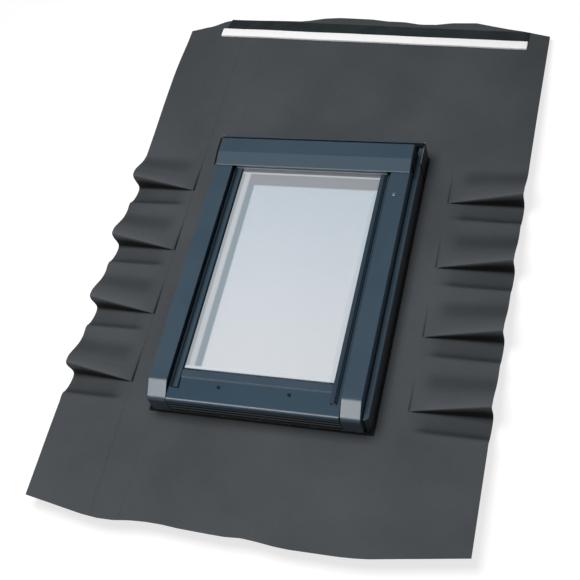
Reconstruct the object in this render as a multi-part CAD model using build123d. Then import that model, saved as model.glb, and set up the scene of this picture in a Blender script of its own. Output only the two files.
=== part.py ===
from build123d import *
import math
import os

# Roof hatch lying flat as it sits in a roof: +Y runs up the slope, +Z points out of the roof,
# +X is to the right seen from outside. The base of the frame is at height zero and the origin
# is the middle of the four fixing holes. All sizes are millimetres.

# Frame of four white profiles with a stepped section
frame_width = 470.0
frame_length = 730.0
seat_height = 66.0
stile_rise = 46.0
top_rail_rise = 38.0
bottom_rail_rise = 32.0
stile_land = 36.0
stile_stop_width = 75.0
top_land = 40.0
top_stop_width = 109.0
bottom_land = 10.0
bottom_stop_width = 63.0
rail_joint_gap = 0.2
stop_lip = 4.0
side_splay = 32.0
top_splay = 52.0

# Rubber seal on the frame's seat
seal_height = 3.7
seal_width = 8.0
seal_inset = 5.0
seal_gap = 0.3

# Sash of four white profiles that carries the glass
sash_side_gap = 15.0
sash_top_gap = 7.0
sash_bottom_gap = 12.0
sash_stile_width = 28.0
sash_top_width = 68.0
sash_bottom_width = 47.0
sash_depth = 36.0

# Glass unit: two panes, a spacer bar between them and a bedding tape below
tape_height = 2.0
tape_width = 14.0
pane_thickness = 4.0
pane_cavity = 10.0
pane_side_margin = 8.0
pane_top_margin = 16.0
pane_bottom_margin = 33.0
spacer_width = 11.0
spacer_inset = 5.0
glazing_rubber_height = 1.3
glazing_rubber_width = 5.0

# Folded aluminium sheet of the covers, strips, hood and collar
sheet_thickness = 1.2
sheet_gap = 0.3

# Side strips of the sash that clamp the glass
strip_width = 14.2
strip_leg_height = 38.0
strip_tail = 43.0
strip_ledge = 9.0
strip_ledge_drop = 5.0

# Bottom profile of the sash, an extrusion with a rounded nose and a grooved front
nose_side_gap = 1.5
nose_lip = 18.0
nose_lip_overlap = 16.0
nose_step = 2.5
nose_deck_fall = 4.0
nose_round = 9.0
nose_bottom_rise = 2.0
nose_front_thickness = 2.4
nose_deck_thickness = 1.8
nose_web_thickness = 8.0
groove_count = 3
groove_height = 3.0
groove_depth = 1.5
groove_pitch = 12.0
groove_first_rise = 8.0

# Covers over the frame's stiles, with a drooped front end
cover_overlap = 5.0
cover_width = 44.0
cover_rise = 27.0
cover_outer_leg = 49.0
cover_inner_leg = 21.0
cover_front_gap = 1.8
cover_facet_reach = 41.3
cover_facet_fall = 24.0
cover_bend_radius = 15.0
cover_front_leg = 16.0
cover_tuck = 20.0
clip_length = 24.0
clip_width = 25.0
clip_places_share = (-0.35, 0.0, 0.265)
cover_edge_round = 1.0

# Hood over the top end, carried by the sash
hood_rise = 9.5
hood_length = 76.0
hood_crease_share = 0.54
hood_front_rise = 2.5
hood_back_gap = 5.0
hood_back_leg = 27.0
hood_side_leg = 43.0
hood_end_gap = 2.0
hood_lip_side_gap = 10.0
hood_rubber_height = 3.5
hood_rubber_width = 6.0
hood_post_length = 30.0
hood_post_width = 12.0
hood_post_gap = 4.0
hood_cap_width = 3.4
hood_cap_edge = 2.0
hood_cap_lift = 2.5

# Hinges at the top rail
hinge_setback = 11.0
hinge_rise = 8.0
hinge_length = 64.0
hinge_side_gap = 1.0
knuckle_radius = 6.0
hinge_pin_radius = 3.0
hinge_pin_clearance = 0.05
hinge_knuckle_gap = 0.5
hinge_leaf_thickness = 2.0
hinge_leaf_reach = 24.0
hinge_leaf_drop = 0.5
hinge_pin_head = 1.5
hinge_screw_spacing_share = 0.6

# Handle, spindle and cam at the bottom rail, with its keeper on the frame
handle_plate_width = 34.0
handle_plate_height = 28.0
handle_plate_thickness = 4.0
handle_hub_radius = 11.0
handle_hub_length = 11.7
lever_length = 72.0
lever_width = 16.0
lever_thickness = 9.0
handle_gap = 0.3
spindle_radius = 4.0
spindle_clearance = 0.05
cam_radius = 9.0
cam_length = 20.0
cam_width = 8.0
cam_thickness = 5.0
cam_gap = 4.0
keeper_gap = 0.4
keeper_height = 4.5
keeper_width = 8.0
keeper_reach = 8.5
keeper_offset = 11.0

# Stay bar that holds the sash ajar
stay_length = 230.0
stay_width = 16.0
stay_thickness = 4.0
stay_gap = 1.5
stay_pivot_from_bottom = 66.0
stay_pin_radius = 3.0
stay_pin_clearance = 0.05
stay_pin_head_radius = 6.0
stay_pin_head = 2.0
stay_pin_depth = 14.0
stay_notch_radius = 4.5
stay_notch_count = 3
stay_notch_pitch = 30.0
stay_notch_end = 18.0
peg_radius = 3.5
peg_length = 9.0
peg_height = 30.0
peg_from_stop = 12.0
peg_depth = 20.0

# Collar between the frame and the skirt
collar_gap = 2.0
collar_width = 12.0
collar_drop = 31.0
collar_front_setback = 11.0
collar_corner_round = 9.0
collar_edge_round = 2.5
collar_foot = 16.0
collar_back_rise = 2.0
collar_back_flange = 14.0
collar_back_wrap = 64.0
collar_front_drop = 4.0
collar_front_lean = 9.0
gasket_width = 9.0
gasket_height = 2.0

# Skirt of soft sheet around the collar, pleated along both sides
skirt_height = 50.0
skirt_thickness = 3.0
skirt_top_reach = 466.0
skirt_bottom_reach = 250.3
skirt_lap = 65.6
pleat_length_left = 163.6
pleat_length_right = 173.6
pleat_height = 29.0
pleat_pitch = 180.0
pleat_count = 4
first_pleat_drop = 122.0
top_corner_drop = 40.0
bottom_corner_rise = 22.0
corner_middle_share = 0.47
top_bow_share = 0.18
bottom_bow_share = 0.45
skirt_droop = 34.0
pleat_lean_share = 0.075
pleat_place_shares = (0.405, 0.257, 0.106, 0.035, 0.015, -0.005, -0.025, -0.055, -0.11, -0.232, -0.342, -0.5)
pleat_rise_shares = (-0.06, 0.41, 0.90, 1.0, 0.85, 0.1, -0.7, -0.88, -0.86, -0.67, -0.2, -0.16)

# Foam strip and dark tape along the top edge of the skirt
foam_width = 26.0
foam_height = 7.0
foam_left_share = 0.797
foam_right_share = 0.895
foam_setback = 67.0
foam_skew = 20.0
foam_lift = 1.2
foam_end_round = 3.0
tape_strip_width = 38.0
tape_strip_thickness = 1.0

# Fixing brackets at the sides of the frame
bracket_length = 40.0
bracket_foot = 50.0
bracket_leg = 40.0
bracket_thickness = 2.5
bracket_hole_radius = 3.5
bracket_hole_reach = 30.0
bracket_hole_spacing_y = 500.0
bracket_screw_spacing = 20.0
bracket_screw_height = 26.0

# Screws
screw_radius = 2.0
screw_clearance = 0.2
screw_depth = 14.0
screw_head_radius = 4.0
screw_head_height = 1.8
cover_screw_inset = 26.0
nose_screw_spacing = 160.0
nose_screw_setback = 15.0
nose_screw_sink = 0.6

# One overrun for all cuts
overrun = 1.0

# Places across the hatch, measured from its middle line
frame_side = frame_width / 2
stile_inner = frame_side - stile_land
stop_inner = frame_side - stile_stop_width
sash_outer = stile_inner - sash_side_gap
sash_inner = sash_outer - sash_stile_width
pane_side = sash_outer - pane_side_margin
strip_outer = sash_outer + sheet_thickness
strip_inner = strip_outer - strip_width
cover_outer = frame_side + cover_overlap
cover_inner = cover_outer - cover_width
nose_side = cover_inner - nose_side_gap
collar_inner = cover_outer + collar_gap
collar_outer = collar_inner + collar_width
wrap_outer = collar_outer + sheet_gap + sheet_thickness
wing_inner = wrap_outer + sheet_gap
pleat_tip = wing_inner + skirt_lap
skirt_left = pleat_tip + pleat_length_left
skirt_right = pleat_tip + pleat_length_right

# Places along the slope
frame_end = frame_length / 2
top_stop = frame_end - top_stop_width
top_inner = frame_end - top_land
bottom_stop = bottom_stop_width - frame_end
bottom_inner = bottom_land - frame_end
sash_top = top_inner - sash_top_gap
sash_top_inner = sash_top - sash_top_width
sash_bottom = bottom_inner + sash_bottom_gap
sash_bottom_inner = sash_bottom + sash_bottom_width
pane_top = sash_top - pane_top_margin
pane_bottom = sash_bottom + pane_bottom_margin
hinge_y = top_inner + hinge_setback
hood_back = hinge_y - hood_back_gap
hood_front = hood_back - hood_length
cover_back = hood_front + cover_tuck
cover_front = -(frame_end + cover_front_gap + sheet_thickness)
collar_back = frame_end + sheet_gap + sheet_thickness
collar_front = -(frame_end + sheet_gap + sheet_thickness)
apron_top_start = collar_back + sheet_gap
skirt_top = apron_top_start + skirt_top_reach
droop_start = collar_back + collar_foot
collar_end = cover_front + collar_front_setback
skirt_bottom = cover_front - skirt_bottom_reach

# Heights
stile_height = seat_height + stile_rise
top_rail_height = seat_height + top_rail_rise
bottom_rail_height = seat_height + bottom_rail_rise
nose_bottom_height = seat_height + nose_bottom_rise
sash_base = seat_height + seal_height + seal_gap
sash_deck = sash_base + sash_depth
pane_base = sash_deck + tape_height
cavity_base = pane_base + pane_thickness
outer_pane_base = cavity_base + pane_cavity
glass_top = outer_pane_base + pane_thickness
strip_base = glass_top + glazing_rubber_height
strip_top = strip_base + sheet_thickness
cover_top = stile_height + cover_rise
hood_top = cover_top + hood_rise
hood_edge = cover_top + hood_front_rise
hinge_z = top_rail_height + hinge_rise
handle_z = sash_base + sash_depth / 2
collar_height = cover_top - collar_drop
collar_back_height = stile_height + collar_back_rise
collar_front_height = nose_bottom_height - collar_front_drop
collar_foot_base = skirt_height - skirt_thickness - sheet_thickness


def block(x_low, x_high, y_low, y_high, z_low, z_high):
    """A box given by its limits."""
    middle = ((x_low + x_high) / 2, (y_low + y_high) / 2, (z_low + z_high) / 2)
    return Pos(*middle) * Box(x_high - x_low, y_high - y_low, z_high - z_low)


def prism_x(points, x_low, x_high):
    """An outline of (y, z) points drawn out across the hatch."""
    outline = Wire.make_polygon([Vector(x_low, y, z) for y, z in points])
    return Part() + Solid.extrude(Face(outline), Vector(x_high - x_low, 0, 0))


def rod_x(y, z, radius, x_low, x_high):
    """A round bar across the hatch."""
    return Pos((x_low + x_high) / 2, y, z) * Rot(0, 90, 0) * Cylinder(radius, x_high - x_low)


def rod_y(x, z, radius, y_low, y_high):
    """A round bar along the slope."""
    return Pos(x, (y_low + y_high) / 2, z) * Rot(90, 0, 0) * Cylinder(radius, y_high - y_low)


def rod_z(x, y, radius, z_low, z_high):
    """An upright round bar."""
    return Pos(x, y, (z_low + z_high) / 2) * Cylinder(radius, z_high - z_low)


def other_side(shape):
    """The same piece on the other side of the middle line."""
    return mirror(shape, about=Plane.YZ)


def screw_down(x, y, seat):
    """A pan-head screw driven down, with its head on the height called seat."""
    head = rod_z(x, y, screw_head_radius, seat, seat + screw_head_height)
    rim = head.edges().filter_by(GeomType.CIRCLE).sort_by(Axis.Z)[-1]
    return fillet(rim, screw_head_height / 2) + rod_z(x, y, screw_radius, seat - screw_depth, seat)


def screw_hole_down(x, y, seat):
    """The hole that such a screw stands in."""
    return rod_z(x, y, screw_radius + screw_clearance, seat - screw_depth - screw_clearance, seat + overrun)


def save(node, shape):
    """Write one node as a STEP file named after it."""
    shape.label = node
    export_step(shape, f"parts/{node}.step")


def save_pair(node, shape):
    """Write a right-hand piece and its mirrored left-hand twin."""
    save(f"{node}_right", shape)
    save(f"{node}_left", other_side(shape))


os.makedirs("parts", exist_ok=True)

# Shaft through the frame: below the stop it widens to both sides and up the slope
splay_height = seat_height - stop_lip


def shaft_outline(height):
    """The four corners of the shaft at one height."""
    share = (splay_height - height) / splay_height
    side = stop_inner + side_splay * share
    top = top_stop + top_splay * share
    corners = [(-side, bottom_stop), (side, bottom_stop), (side, top), (-side, top)]
    return Wire.make_polygon([Vector(x, y, height) for x, y in corners])


shaft = Part() + Solid.make_loft([shaft_outline(-overrun), shaft_outline(splay_height)], ruled=True)

# Cut under the front of the frame, where the collar front leans in below the nose
front_back = collar_front_lean - frame_end
front_cut = prism_x([
    (-frame_end - overrun, -overrun),
    (front_back, -overrun),
    (front_back, collar_foot_base),
    (-frame_end, collar_front_height),
    (-frame_end - overrun, collar_front_height),
], -frame_side - overrun, frame_side + overrun)

# Frame stile: the high land outside, the low stop inside that the sash comes down on
frame_stile = block(stile_inner, frame_side, -frame_end, frame_end, 0, stile_height)
frame_stile += block(stop_inner, stile_inner, -frame_end, frame_end, 0, seat_height)
frame_stile = frame_stile - shaft - front_cut

bracket_y = bracket_hole_spacing_y / 2
bracket_screw_places = []
for bracket_middle in (-bracket_y, bracket_y):
    for offset in (-bracket_screw_spacing / 2, bracket_screw_spacing / 2):
        bracket_screw_places.append(bracket_middle + offset)
side_screw_hole = screw_radius + screw_clearance
side_screw_end = frame_side - screw_depth
for place in bracket_screw_places:
    hole_end = side_screw_end - screw_clearance
    frame_stile -= rod_x(place, bracket_screw_height, side_screw_hole, hole_end, frame_side + overrun)

peg_y = bottom_stop + peg_from_stop
peg_face = stop_inner + side_splay * (splay_height - peg_height) / splay_height
peg_hole = rod_x(peg_y, peg_height, peg_radius, stop_inner - overrun, peg_face + peg_depth)
save("frame_stile_left", other_side(frame_stile))
save("frame_stile_right", frame_stile - peg_hole)

# Peg on the right stile that the stay bar hooks over
stay_peg = rod_x(peg_y, peg_height, peg_radius, stop_inner - peg_length, peg_face + peg_depth)
peg_end = stay_peg.edges().filter_by(GeomType.CIRCLE).sort_by(Axis.X)[0]
save("stay_peg", fillet(peg_end, peg_radius / 3))

# Frame rails between the stiles
rail_end = stop_inner - rail_joint_gap
land_end = stile_inner - rail_joint_gap
bottom_land_end = cover_inner - sheet_gap
rail_top = block(-rail_end, rail_end, top_stop, frame_end, 0, seat_height)
rail_top += block(-land_end, land_end, top_inner, frame_end, seat_height, top_rail_height)
rail_top -= shaft
rail_bottom = block(-rail_end, rail_end, -frame_end, bottom_stop, 0, seat_height)
rail_bottom += block(-bottom_land_end, bottom_land_end, -frame_end, bottom_inner, seat_height,
                     bottom_rail_height)
rail_bottom -= front_cut

# Hinge leaves and pins: the outer knuckles stay with the frame, the middle one with the sash
hinge_x = sash_inner - hinge_side_gap - hinge_length / 2
knuckle = hinge_length / 3
leaf_screws = (-hinge_length * hinge_screw_spacing_share / 2, hinge_length * hinge_screw_spacing_share / 2)
frame_leaf_top = top_rail_height + hinge_leaf_thickness - hinge_leaf_drop
frame_leaf_screw_y = hinge_y + hinge_leaf_reach / 2 + hinge_leaf_drop
sash_leaf_top = sash_deck + hinge_leaf_thickness
sash_leaf_screw_y = (pane_top + sash_top) / 2
hinge_leaves_frame = []
hinge_leaves_sash = []
hinge_pins = []
hinge_screws_frame = []
hinge_screws_sash = []
sash_leaf_holes = []
for hinge_middle in (-hinge_x, hinge_x):
    left = hinge_middle - hinge_length / 2
    right = hinge_middle + hinge_length / 2
    middle_left = left + knuckle + hinge_knuckle_gap
    middle_right = right - knuckle - hinge_knuckle_gap
    bore_radius = hinge_pin_radius + hinge_pin_clearance
    bore = rod_x(hinge_y, hinge_z, bore_radius, left - overrun, right + overrun)

    frame_leaf = block(left, right, hinge_y, hinge_y + hinge_leaf_reach, top_rail_height, frame_leaf_top)
    for knuckle_left in (left, right - knuckle):
        knuckle_right = knuckle_left + knuckle
        frame_leaf += rod_x(hinge_y, hinge_z, knuckle_radius, knuckle_left, knuckle_right)
        frame_leaf += block(knuckle_left, knuckle_right, hinge_y, hinge_y + knuckle_radius,
                            top_rail_height, hinge_z)
    frame_leaf -= bore

    sash_leaf = block(left, right, pane_top + sheet_thickness, sash_top, sash_deck, sash_leaf_top)
    sash_leaf += block(middle_left, middle_right, sash_top, hinge_y, sash_deck, sash_leaf_top)
    sash_leaf += rod_x(hinge_y, hinge_z, knuckle_radius, middle_left, middle_right)
    sash_leaf -= bore

    for offset in leaf_screws:
        screw_x = hinge_middle + offset
        hinge_screws_frame.append(screw_down(screw_x, frame_leaf_screw_y, frame_leaf_top))
        hinge_screws_sash.append(screw_down(screw_x, sash_leaf_screw_y, sash_leaf_top))
        frame_hole = screw_hole_down(screw_x, frame_leaf_screw_y, frame_leaf_top)
        sash_hole = screw_hole_down(screw_x, sash_leaf_screw_y, sash_leaf_top)
        frame_leaf -= frame_hole
        rail_top -= frame_hole
        sash_leaf -= sash_hole
        sash_leaf_holes.append(sash_hole)

    pin = rod_x(hinge_y, hinge_z, hinge_pin_radius, left, right)
    pin += rod_x(hinge_y, hinge_z, knuckle_radius - hinge_pin_head, right, right + hinge_pin_head)
    pin += rod_x(hinge_y, hinge_z, knuckle_radius - hinge_pin_head, left - hinge_pin_head, left)
    hinge_leaves_frame.append(frame_leaf)
    hinge_leaves_sash.append(sash_leaf)
    hinge_pins.append(pin)

save("frame_rail_top", rail_top)
save("hinge_leaf_frame_left", hinge_leaves_frame[0])
save("hinge_leaf_frame_right", hinge_leaves_frame[1])
save("hinge_leaf_sash_left", hinge_leaves_sash[0])
save("hinge_leaf_sash_right", hinge_leaves_sash[1])
save("hinge_pins", Compound(children=hinge_pins))
save("hinge_screws_frame", Compound(children=hinge_screws_frame))
save("hinge_screws_sash", Compound(children=hinge_screws_sash))

# Keeper on the bottom rail that the cam turns under
keeper_base = handle_z + cam_width / 2 + keeper_gap
keeper = block(keeper_offset, keeper_offset + keeper_width, bottom_inner, bottom_inner + keeper_reach,
               keeper_base, keeper_base + keeper_height)
save("latch_keeper", keeper)
save("frame_rail_bottom", rail_bottom)

# Rubber seal around the opening, on the frame's seat
seal_outer_x = stop_inner + seal_inset + seal_width
seal_top = top_stop + seal_inset + seal_width
seal_bottom = bottom_stop - seal_inset - seal_width
seal_lip = seat_height + seal_height
frame_seal = block(-seal_outer_x, seal_outer_x, seal_bottom, seal_top, seat_height, seal_lip)
frame_seal -= block(-seal_outer_x + seal_width, seal_outer_x - seal_width, seal_bottom + seal_width,
                    seal_top - seal_width, seat_height - overrun, seal_lip + overrun)
save("frame_seal", frame_seal)

# Fixing brackets: an angle on each side of the frame near each end, screwed from the side
bracket_screws = []
brackets = []
for bracket_middle in (-bracket_y, bracket_y):
    front = bracket_middle - bracket_length / 2
    back = bracket_middle + bracket_length / 2
    bracket = block(frame_side, frame_side + bracket_foot, front, back, 0, bracket_thickness)
    bracket += block(frame_side, frame_side + bracket_thickness, front, back, 0, bracket_leg)
    foot_corners = bracket.edges().filter_by(Axis.Z).group_by(Axis.X)[-1]
    bracket = fillet(foot_corners, bracket_hole_radius)
    hole_x = frame_side + bracket_hole_reach
    bracket -= rod_z(hole_x, bracket_middle, bracket_hole_radius, -overrun, bracket_thickness + overrun)
    for offset in (-bracket_screw_spacing / 2, bracket_screw_spacing / 2):
        place = bracket_middle + offset
        leg_face = frame_side + bracket_thickness
        head_face = leg_face + screw_head_height
        bracket -= rod_x(place, bracket_screw_height, side_screw_hole, frame_side - overrun, head_face)
        screw = rod_x(place, bracket_screw_height, screw_head_radius, leg_face, head_face)
        screw += rod_x(place, bracket_screw_height, screw_radius, side_screw_end, leg_face)
        bracket_screws.append(screw)
        bracket_screws.append(other_side(screw))
    brackets.append(bracket)
    brackets.append(other_side(bracket))
save("fixing_brackets", Compound(children=brackets))
save("bracket_screws", Compound(children=bracket_screws))

# Side covers: folded channels over the stiles, closed by a drooped front end
cover_leg_base = cover_top - cover_outer_leg
facet_start = cover_front + cover_facet_reach
facet_angle = math.atan2(cover_facet_fall, cover_facet_reach)
hollow_front = cover_front + sheet_thickness
hollow_top = cover_top - sheet_thickness
hollow_start = facet_start + sheet_thickness * math.tan(facet_angle / 2)
cover_outline = [
    (cover_back, cover_leg_base),
    (cover_back, cover_top),
    (facet_start, cover_top),
    (cover_front, cover_top - cover_facet_fall),
    (cover_front, nose_bottom_height),
    (cover_front + cover_front_leg, nose_bottom_height),
    (cover_front + cover_front_leg, cover_leg_base),
]
cover_hollow = [
    (cover_back + overrun, nose_bottom_height - overrun),
    (cover_back + overrun, hollow_top),
    (hollow_start, hollow_top),
    (hollow_front, hollow_top - (hollow_start - hollow_front) * math.tan(facet_angle)),
    (hollow_front, nose_bottom_height - overrun),
]


def round_bends(body, radius):
    """Rounds the two bends of a cover's drooped front end."""
    cross_edges = body.edges().filter_by(Axis.X)
    upper_bend = cross_edges.group_by(Axis.Z)[-1].sort_by(Axis.Y)[0]
    lower_bend = cross_edges.group_by(Axis.Y)[0].sort_by(Axis.Z)[-1]
    return fillet([upper_bend, lower_bend], radius)


cover = round_bends(prism_x(cover_outline, cover_inner, cover_outer), cover_bend_radius)
ridge_edges = cover.edges().filter_by(Axis.Y).group_by(Axis.Z)[-1]
cover = fillet(ridge_edges, cover_edge_round)
hollow = prism_x(cover_hollow, cover_inner + sheet_thickness, cover_outer - sheet_thickness)
cover -= round_bends(hollow, cover_bend_radius - sheet_thickness)
cover -= block(cover_inner - overrun, cover_inner + sheet_thickness, facet_start, cover_back + overrun,
               cover_leg_base - overrun, cover_top - cover_inner_leg)

# Clips that stand on the stiles and carry the covers, and the screw through the upper right one
cover_screw_x = cover_outer - cover_screw_inset
cover_clips = []
clip_middle_x = (stile_inner + frame_side) / 2
for place_share in clip_places_share:
    clip_y = frame_length * place_share
    clip = block(clip_middle_x - clip_width / 2, clip_middle_x + clip_width / 2, clip_y - clip_length / 2,
                 clip_y + clip_length / 2, stile_height, cover_top - sheet_thickness)
    cover_clips.append(other_side(clip))
    if place_share == clip_places_share[-1]:
        clip -= screw_hole_down(cover_screw_x, clip_y, cover_top)
    cover_clips.append(clip)
save("side_cover_left", other_side(cover))
save("side_cover_right", cover - screw_hole_down(cover_screw_x, clip_y, cover_top))
save("cover_clips", Compound(children=cover_clips))
save("cover_screw", screw_down(cover_screw_x, clip_y, cover_top))

# Collar sides: narrow raised channels beside the covers, with a foot that carries the skirt
collar_side = block(collar_inner, collar_outer, collar_end, frame_end, collar_foot_base, collar_height)
front_corner = collar_side.edges().filter_by(Axis.Z).group_by(Axis.Y)[0].sort_by(Axis.X)[-1]
collar_side = fillet(front_corner, collar_corner_round)
top_edges = collar_side.faces().sort_by(Axis.Z)[-1].edges()
outer_rim = top_edges.sort_by(Axis.X)[1:].sort_by(Axis.Y)[:-1]
collar_side = fillet(outer_rim, collar_edge_round)
collar_hollow = block(collar_inner + sheet_thickness, collar_outer - sheet_thickness,
                      collar_end + sheet_thickness, frame_end + overrun, collar_foot_base - overrun,
                      collar_height - sheet_thickness)
hollow_corner = collar_hollow.edges().filter_by(Axis.Z).group_by(Axis.Y)[0].sort_by(Axis.X)[-1]
collar_side -= fillet(hollow_corner, collar_corner_round - sheet_thickness)
collar_side += block(frame_side, collar_outer + collar_foot, cover_front, frame_end, collar_foot_base,
                     collar_foot_base + sheet_thickness)
save_pair("collar_side", collar_side)

# Collar back: an upright sheet behind the top rail, wrapped round the two sides
back_start = frame_end + sheet_gap
foot_top = collar_foot_base + sheet_thickness
collar_back_piece = block(-wrap_outer, wrap_outer, back_start, collar_back, foot_top, collar_back_height)
collar_back_piece += block(-wrap_outer, wrap_outer, collar_back - collar_back_flange, collar_back,
                           collar_back_height - sheet_thickness, collar_back_height)
wrap_inner = wrap_outer - sheet_thickness
for low, high in ((-wrap_outer, -wrap_inner), (wrap_inner, wrap_outer)):
    collar_back_piece += block(low, high, collar_back - collar_back_wrap, collar_back, foot_top,
                               collar_back_height)
collar_back_piece += block(-wrap_outer, wrap_outer, back_start, collar_back + collar_foot, collar_foot_base,
                           foot_top)
save("collar_back", collar_back_piece)

# Rubber gasket on the flange of the collar back, just behind the hood
gasket_front = collar_back - collar_back_flange
gasket = block(-wrap_outer, wrap_outer, gasket_front, gasket_front + gasket_width, collar_back_height,
               collar_back_height + gasket_height)
gasket_rims = gasket.edges().filter_by(Axis.X).group_by(Axis.Z)[-1]
save("collar_gasket", fillet(gasket_rims, gasket_height / 3))

# Collar front: a low upright sheet below the nose of the sash
front_start = -(frame_end + sheet_gap)
collar_front_piece = prism_x([
    (collar_front + collar_front_lean, collar_foot_base),
    (front_start + collar_front_lean, collar_foot_base),
    (front_start, collar_front_height),
    (collar_front, collar_front_height),
], -frame_side, frame_side)
collar_front_piece += block(-frame_side, frame_side, collar_front - collar_foot,
                            collar_front + collar_front_lean, collar_foot_base, foot_top)
save("collar_front", collar_front_piece)


def droop_at(x, y):
    """How far the soft skirt hangs below its plane above the hatch, most at the right-hand corner."""
    across = (x + skirt_left) / (skirt_left + skirt_right)
    along = max(0, (y - droop_start) / (skirt_top - droop_start))
    return -skirt_droop * across * along


def sheet_section(x, points):
    """A closed outline of the skirt's thickness at one place across the hatch."""
    upper = [Vector(x, y, skirt_height + rise + droop_at(x, y)) for y, rise in points]
    lower = [point - Vector(0, 0, skirt_thickness) for point in reversed(upper)]
    return Wire.make_polygon(upper + lower)


def wing_points(top, bottom, growth):
    """The (y, rise) line of a pleated wing from its top to its bottom edge; pleats lean up the slope."""
    points = [(top, 0), (droop_start, 0)]
    for number in range(pleat_count):
        tip_y = frame_end - first_pleat_drop - (number - pleat_lean_share * growth) * pleat_pitch
        for place_share, rise_share in zip(pleat_place_shares, pleat_rise_shares):
            points.append((tip_y + place_share * pleat_pitch, rise_share * pleat_height * growth))
    points.append((bottom, 0))
    return points


def skirt_wing(side, pleat_length):
    """A wing is flat beside the collar and fans into pleats from the tips to the outer edge."""
    middle_x = pleat_tip + pleat_length * corner_middle_share
    edge_x = pleat_tip + pleat_length
    bow_top = skirt_top - top_corner_drop * top_bow_share
    bow_bottom = skirt_bottom + bottom_corner_rise * bottom_bow_share
    corner_top = skirt_top - top_corner_drop
    corner_bottom = skirt_bottom + bottom_corner_rise
    sections = [
        sheet_section(side * wing_inner, wing_points(skirt_top, skirt_bottom, 0)),
        sheet_section(side * pleat_tip, wing_points(skirt_top, skirt_bottom, 0)),
        sheet_section(side * middle_x, wing_points(bow_top, bow_bottom, corner_middle_share)),
        sheet_section(side * edge_x, wing_points(corner_top, corner_bottom, 1)),
    ]
    return Part() + Solid.make_loft(sections, ruled=True)


save("skirt_wing_left", skirt_wing(-1, pleat_length_left))
save("skirt_wing_right", skirt_wing(1, pleat_length_right))

# Skirt aprons above and below the hatch
apron_points = [(skirt_top, 0), (droop_start, 0), (apron_top_start, 0)]
top_sections = [sheet_section(x, apron_points) for x in (-wing_inner, wing_inner)]
save("skirt_apron_top", Part() + Solid.make_loft(top_sections, ruled=True))
apron_base = skirt_height - skirt_thickness
lean_share = (collar_front_height - skirt_height) / (collar_front_height - collar_foot_base)
apron_bottom_start = collar_front + collar_front_lean * lean_share - sheet_gap
apron_bottom = block(-wing_inner, wing_inner, skirt_bottom, apron_bottom_start, apron_base, skirt_height)
apron_tab = block(frame_side + sheet_gap, wing_inner, apron_bottom_start, collar_end - sheet_gap,
                  apron_base, skirt_height)
apron_bottom += apron_tab
apron_bottom += other_side(apron_tab)
save("skirt_apron_bottom", apron_bottom)

# Foam strip and tape along the top edge, laid on the drooping sheet
foam_left = Vector(-skirt_left * foam_left_share, skirt_top - foam_setback + foam_skew / 2, 0)
foam_right = Vector(skirt_right * foam_right_share, skirt_top - foam_setback - foam_skew / 2, 0)
foam_run = foam_right - foam_left
foam_left_droop = droop_at(foam_left.X, foam_left.Y)
foam_right_droop = droop_at(foam_right.X, foam_right.Y)
foam_turn = math.degrees(math.atan2(foam_run.Y, foam_run.X))
foam_dip = math.degrees(math.atan2(foam_left_droop - foam_right_droop, foam_run.length))
foam_base = skirt_height + (foam_left_droop + foam_right_droop) / 2 + foam_lift
foam_middle = (foam_left + foam_right) / 2
foam_place = Pos(foam_middle.X, foam_middle.Y, foam_base) * Rot(0, 0, foam_turn) * Rot(0, foam_dip, 0)
foam_bar = block(-foam_run.length / 2, foam_run.length / 2, -foam_width / 2, foam_width / 2, 0, foam_height)
foam_bar = fillet(foam_bar.edges().filter_by(Axis.Z), foam_end_round)
save("foam_strip", foam_place * foam_bar)
tape_front = foam_width / 2 + sheet_gap
edge_tape = block(-foam_run.length / 2, foam_run.length / 2, tape_front, tape_front + tape_strip_width, 0,
                  tape_strip_thickness)
save("edge_tape", foam_place * edge_tape)

# Sash profiles
sash_stile = block(sash_inner, sash_outer, sash_bottom, sash_top, sash_base, sash_deck)
sash_rail_end = sash_inner - rail_joint_gap
sash_rail_top = block(-sash_rail_end, sash_rail_end, sash_top_inner, sash_top, sash_base, sash_deck)
sash_rail_bottom = block(-sash_rail_end, sash_rail_end, sash_bottom, sash_bottom_inner, sash_base,
                         sash_deck)
for hole in sash_leaf_holes:
    sash_rail_top -= hole
sash_rail_bottom -= rod_y(0, handle_z, spindle_radius + spindle_clearance, sash_bottom - overrun,
                          sash_bottom_inner + overrun)

stay_y = sash_bottom_inner + stay_pivot_from_bottom
stay_pin_end = sash_inner + stay_pin_depth
stay_bore = rod_x(stay_y, handle_z, stay_pin_radius, sash_inner - overrun, stay_pin_end)
save("sash_stile_left", other_side(sash_stile))
save("sash_stile_right", sash_stile - stay_bore)
save("sash_rail_top", sash_rail_top)

# Bottom profile of the sash: lip over the glass, sloped deck, round nose, grooved front
nose_lip_y = pane_bottom + nose_lip_overlap
nose_step_y = nose_lip_y - nose_lip
deck_start = strip_top - nose_step
deck_end = deck_start - nose_deck_fall
nose_top_y = cover_front + nose_round
front_top = deck_end - nose_round
nose_outline = Polyline(
    (nose_lip_y, strip_base),
    (nose_lip_y, strip_top),
    (nose_step_y, strip_top),
    (nose_step_y, deck_start),
    (nose_top_y, deck_end),
)
nose_curve = RadiusArc((nose_top_y, deck_end), (cover_front, front_top), -nose_round)
inner_front = cover_front + nose_front_thickness
inner_top = deck_end - nose_deck_thickness
nose_return = Polyline(
    (cover_front, front_top),
    (cover_front, nose_bottom_height),
    (inner_front, nose_bottom_height),
    (inner_front, front_top),
    (nose_top_y, inner_top),
    (nose_step_y + nose_deck_thickness, deck_start - nose_deck_thickness),
    (nose_step_y + nose_deck_thickness, strip_base),
    (nose_lip_y, strip_base),
)
nose_face = make_face(nose_outline + nose_curve + nose_return)
nose_plane = Plane(origin=(-nose_side, 0, 0), x_dir=(0, 1, 0), z_dir=(1, 0, 0))
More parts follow.
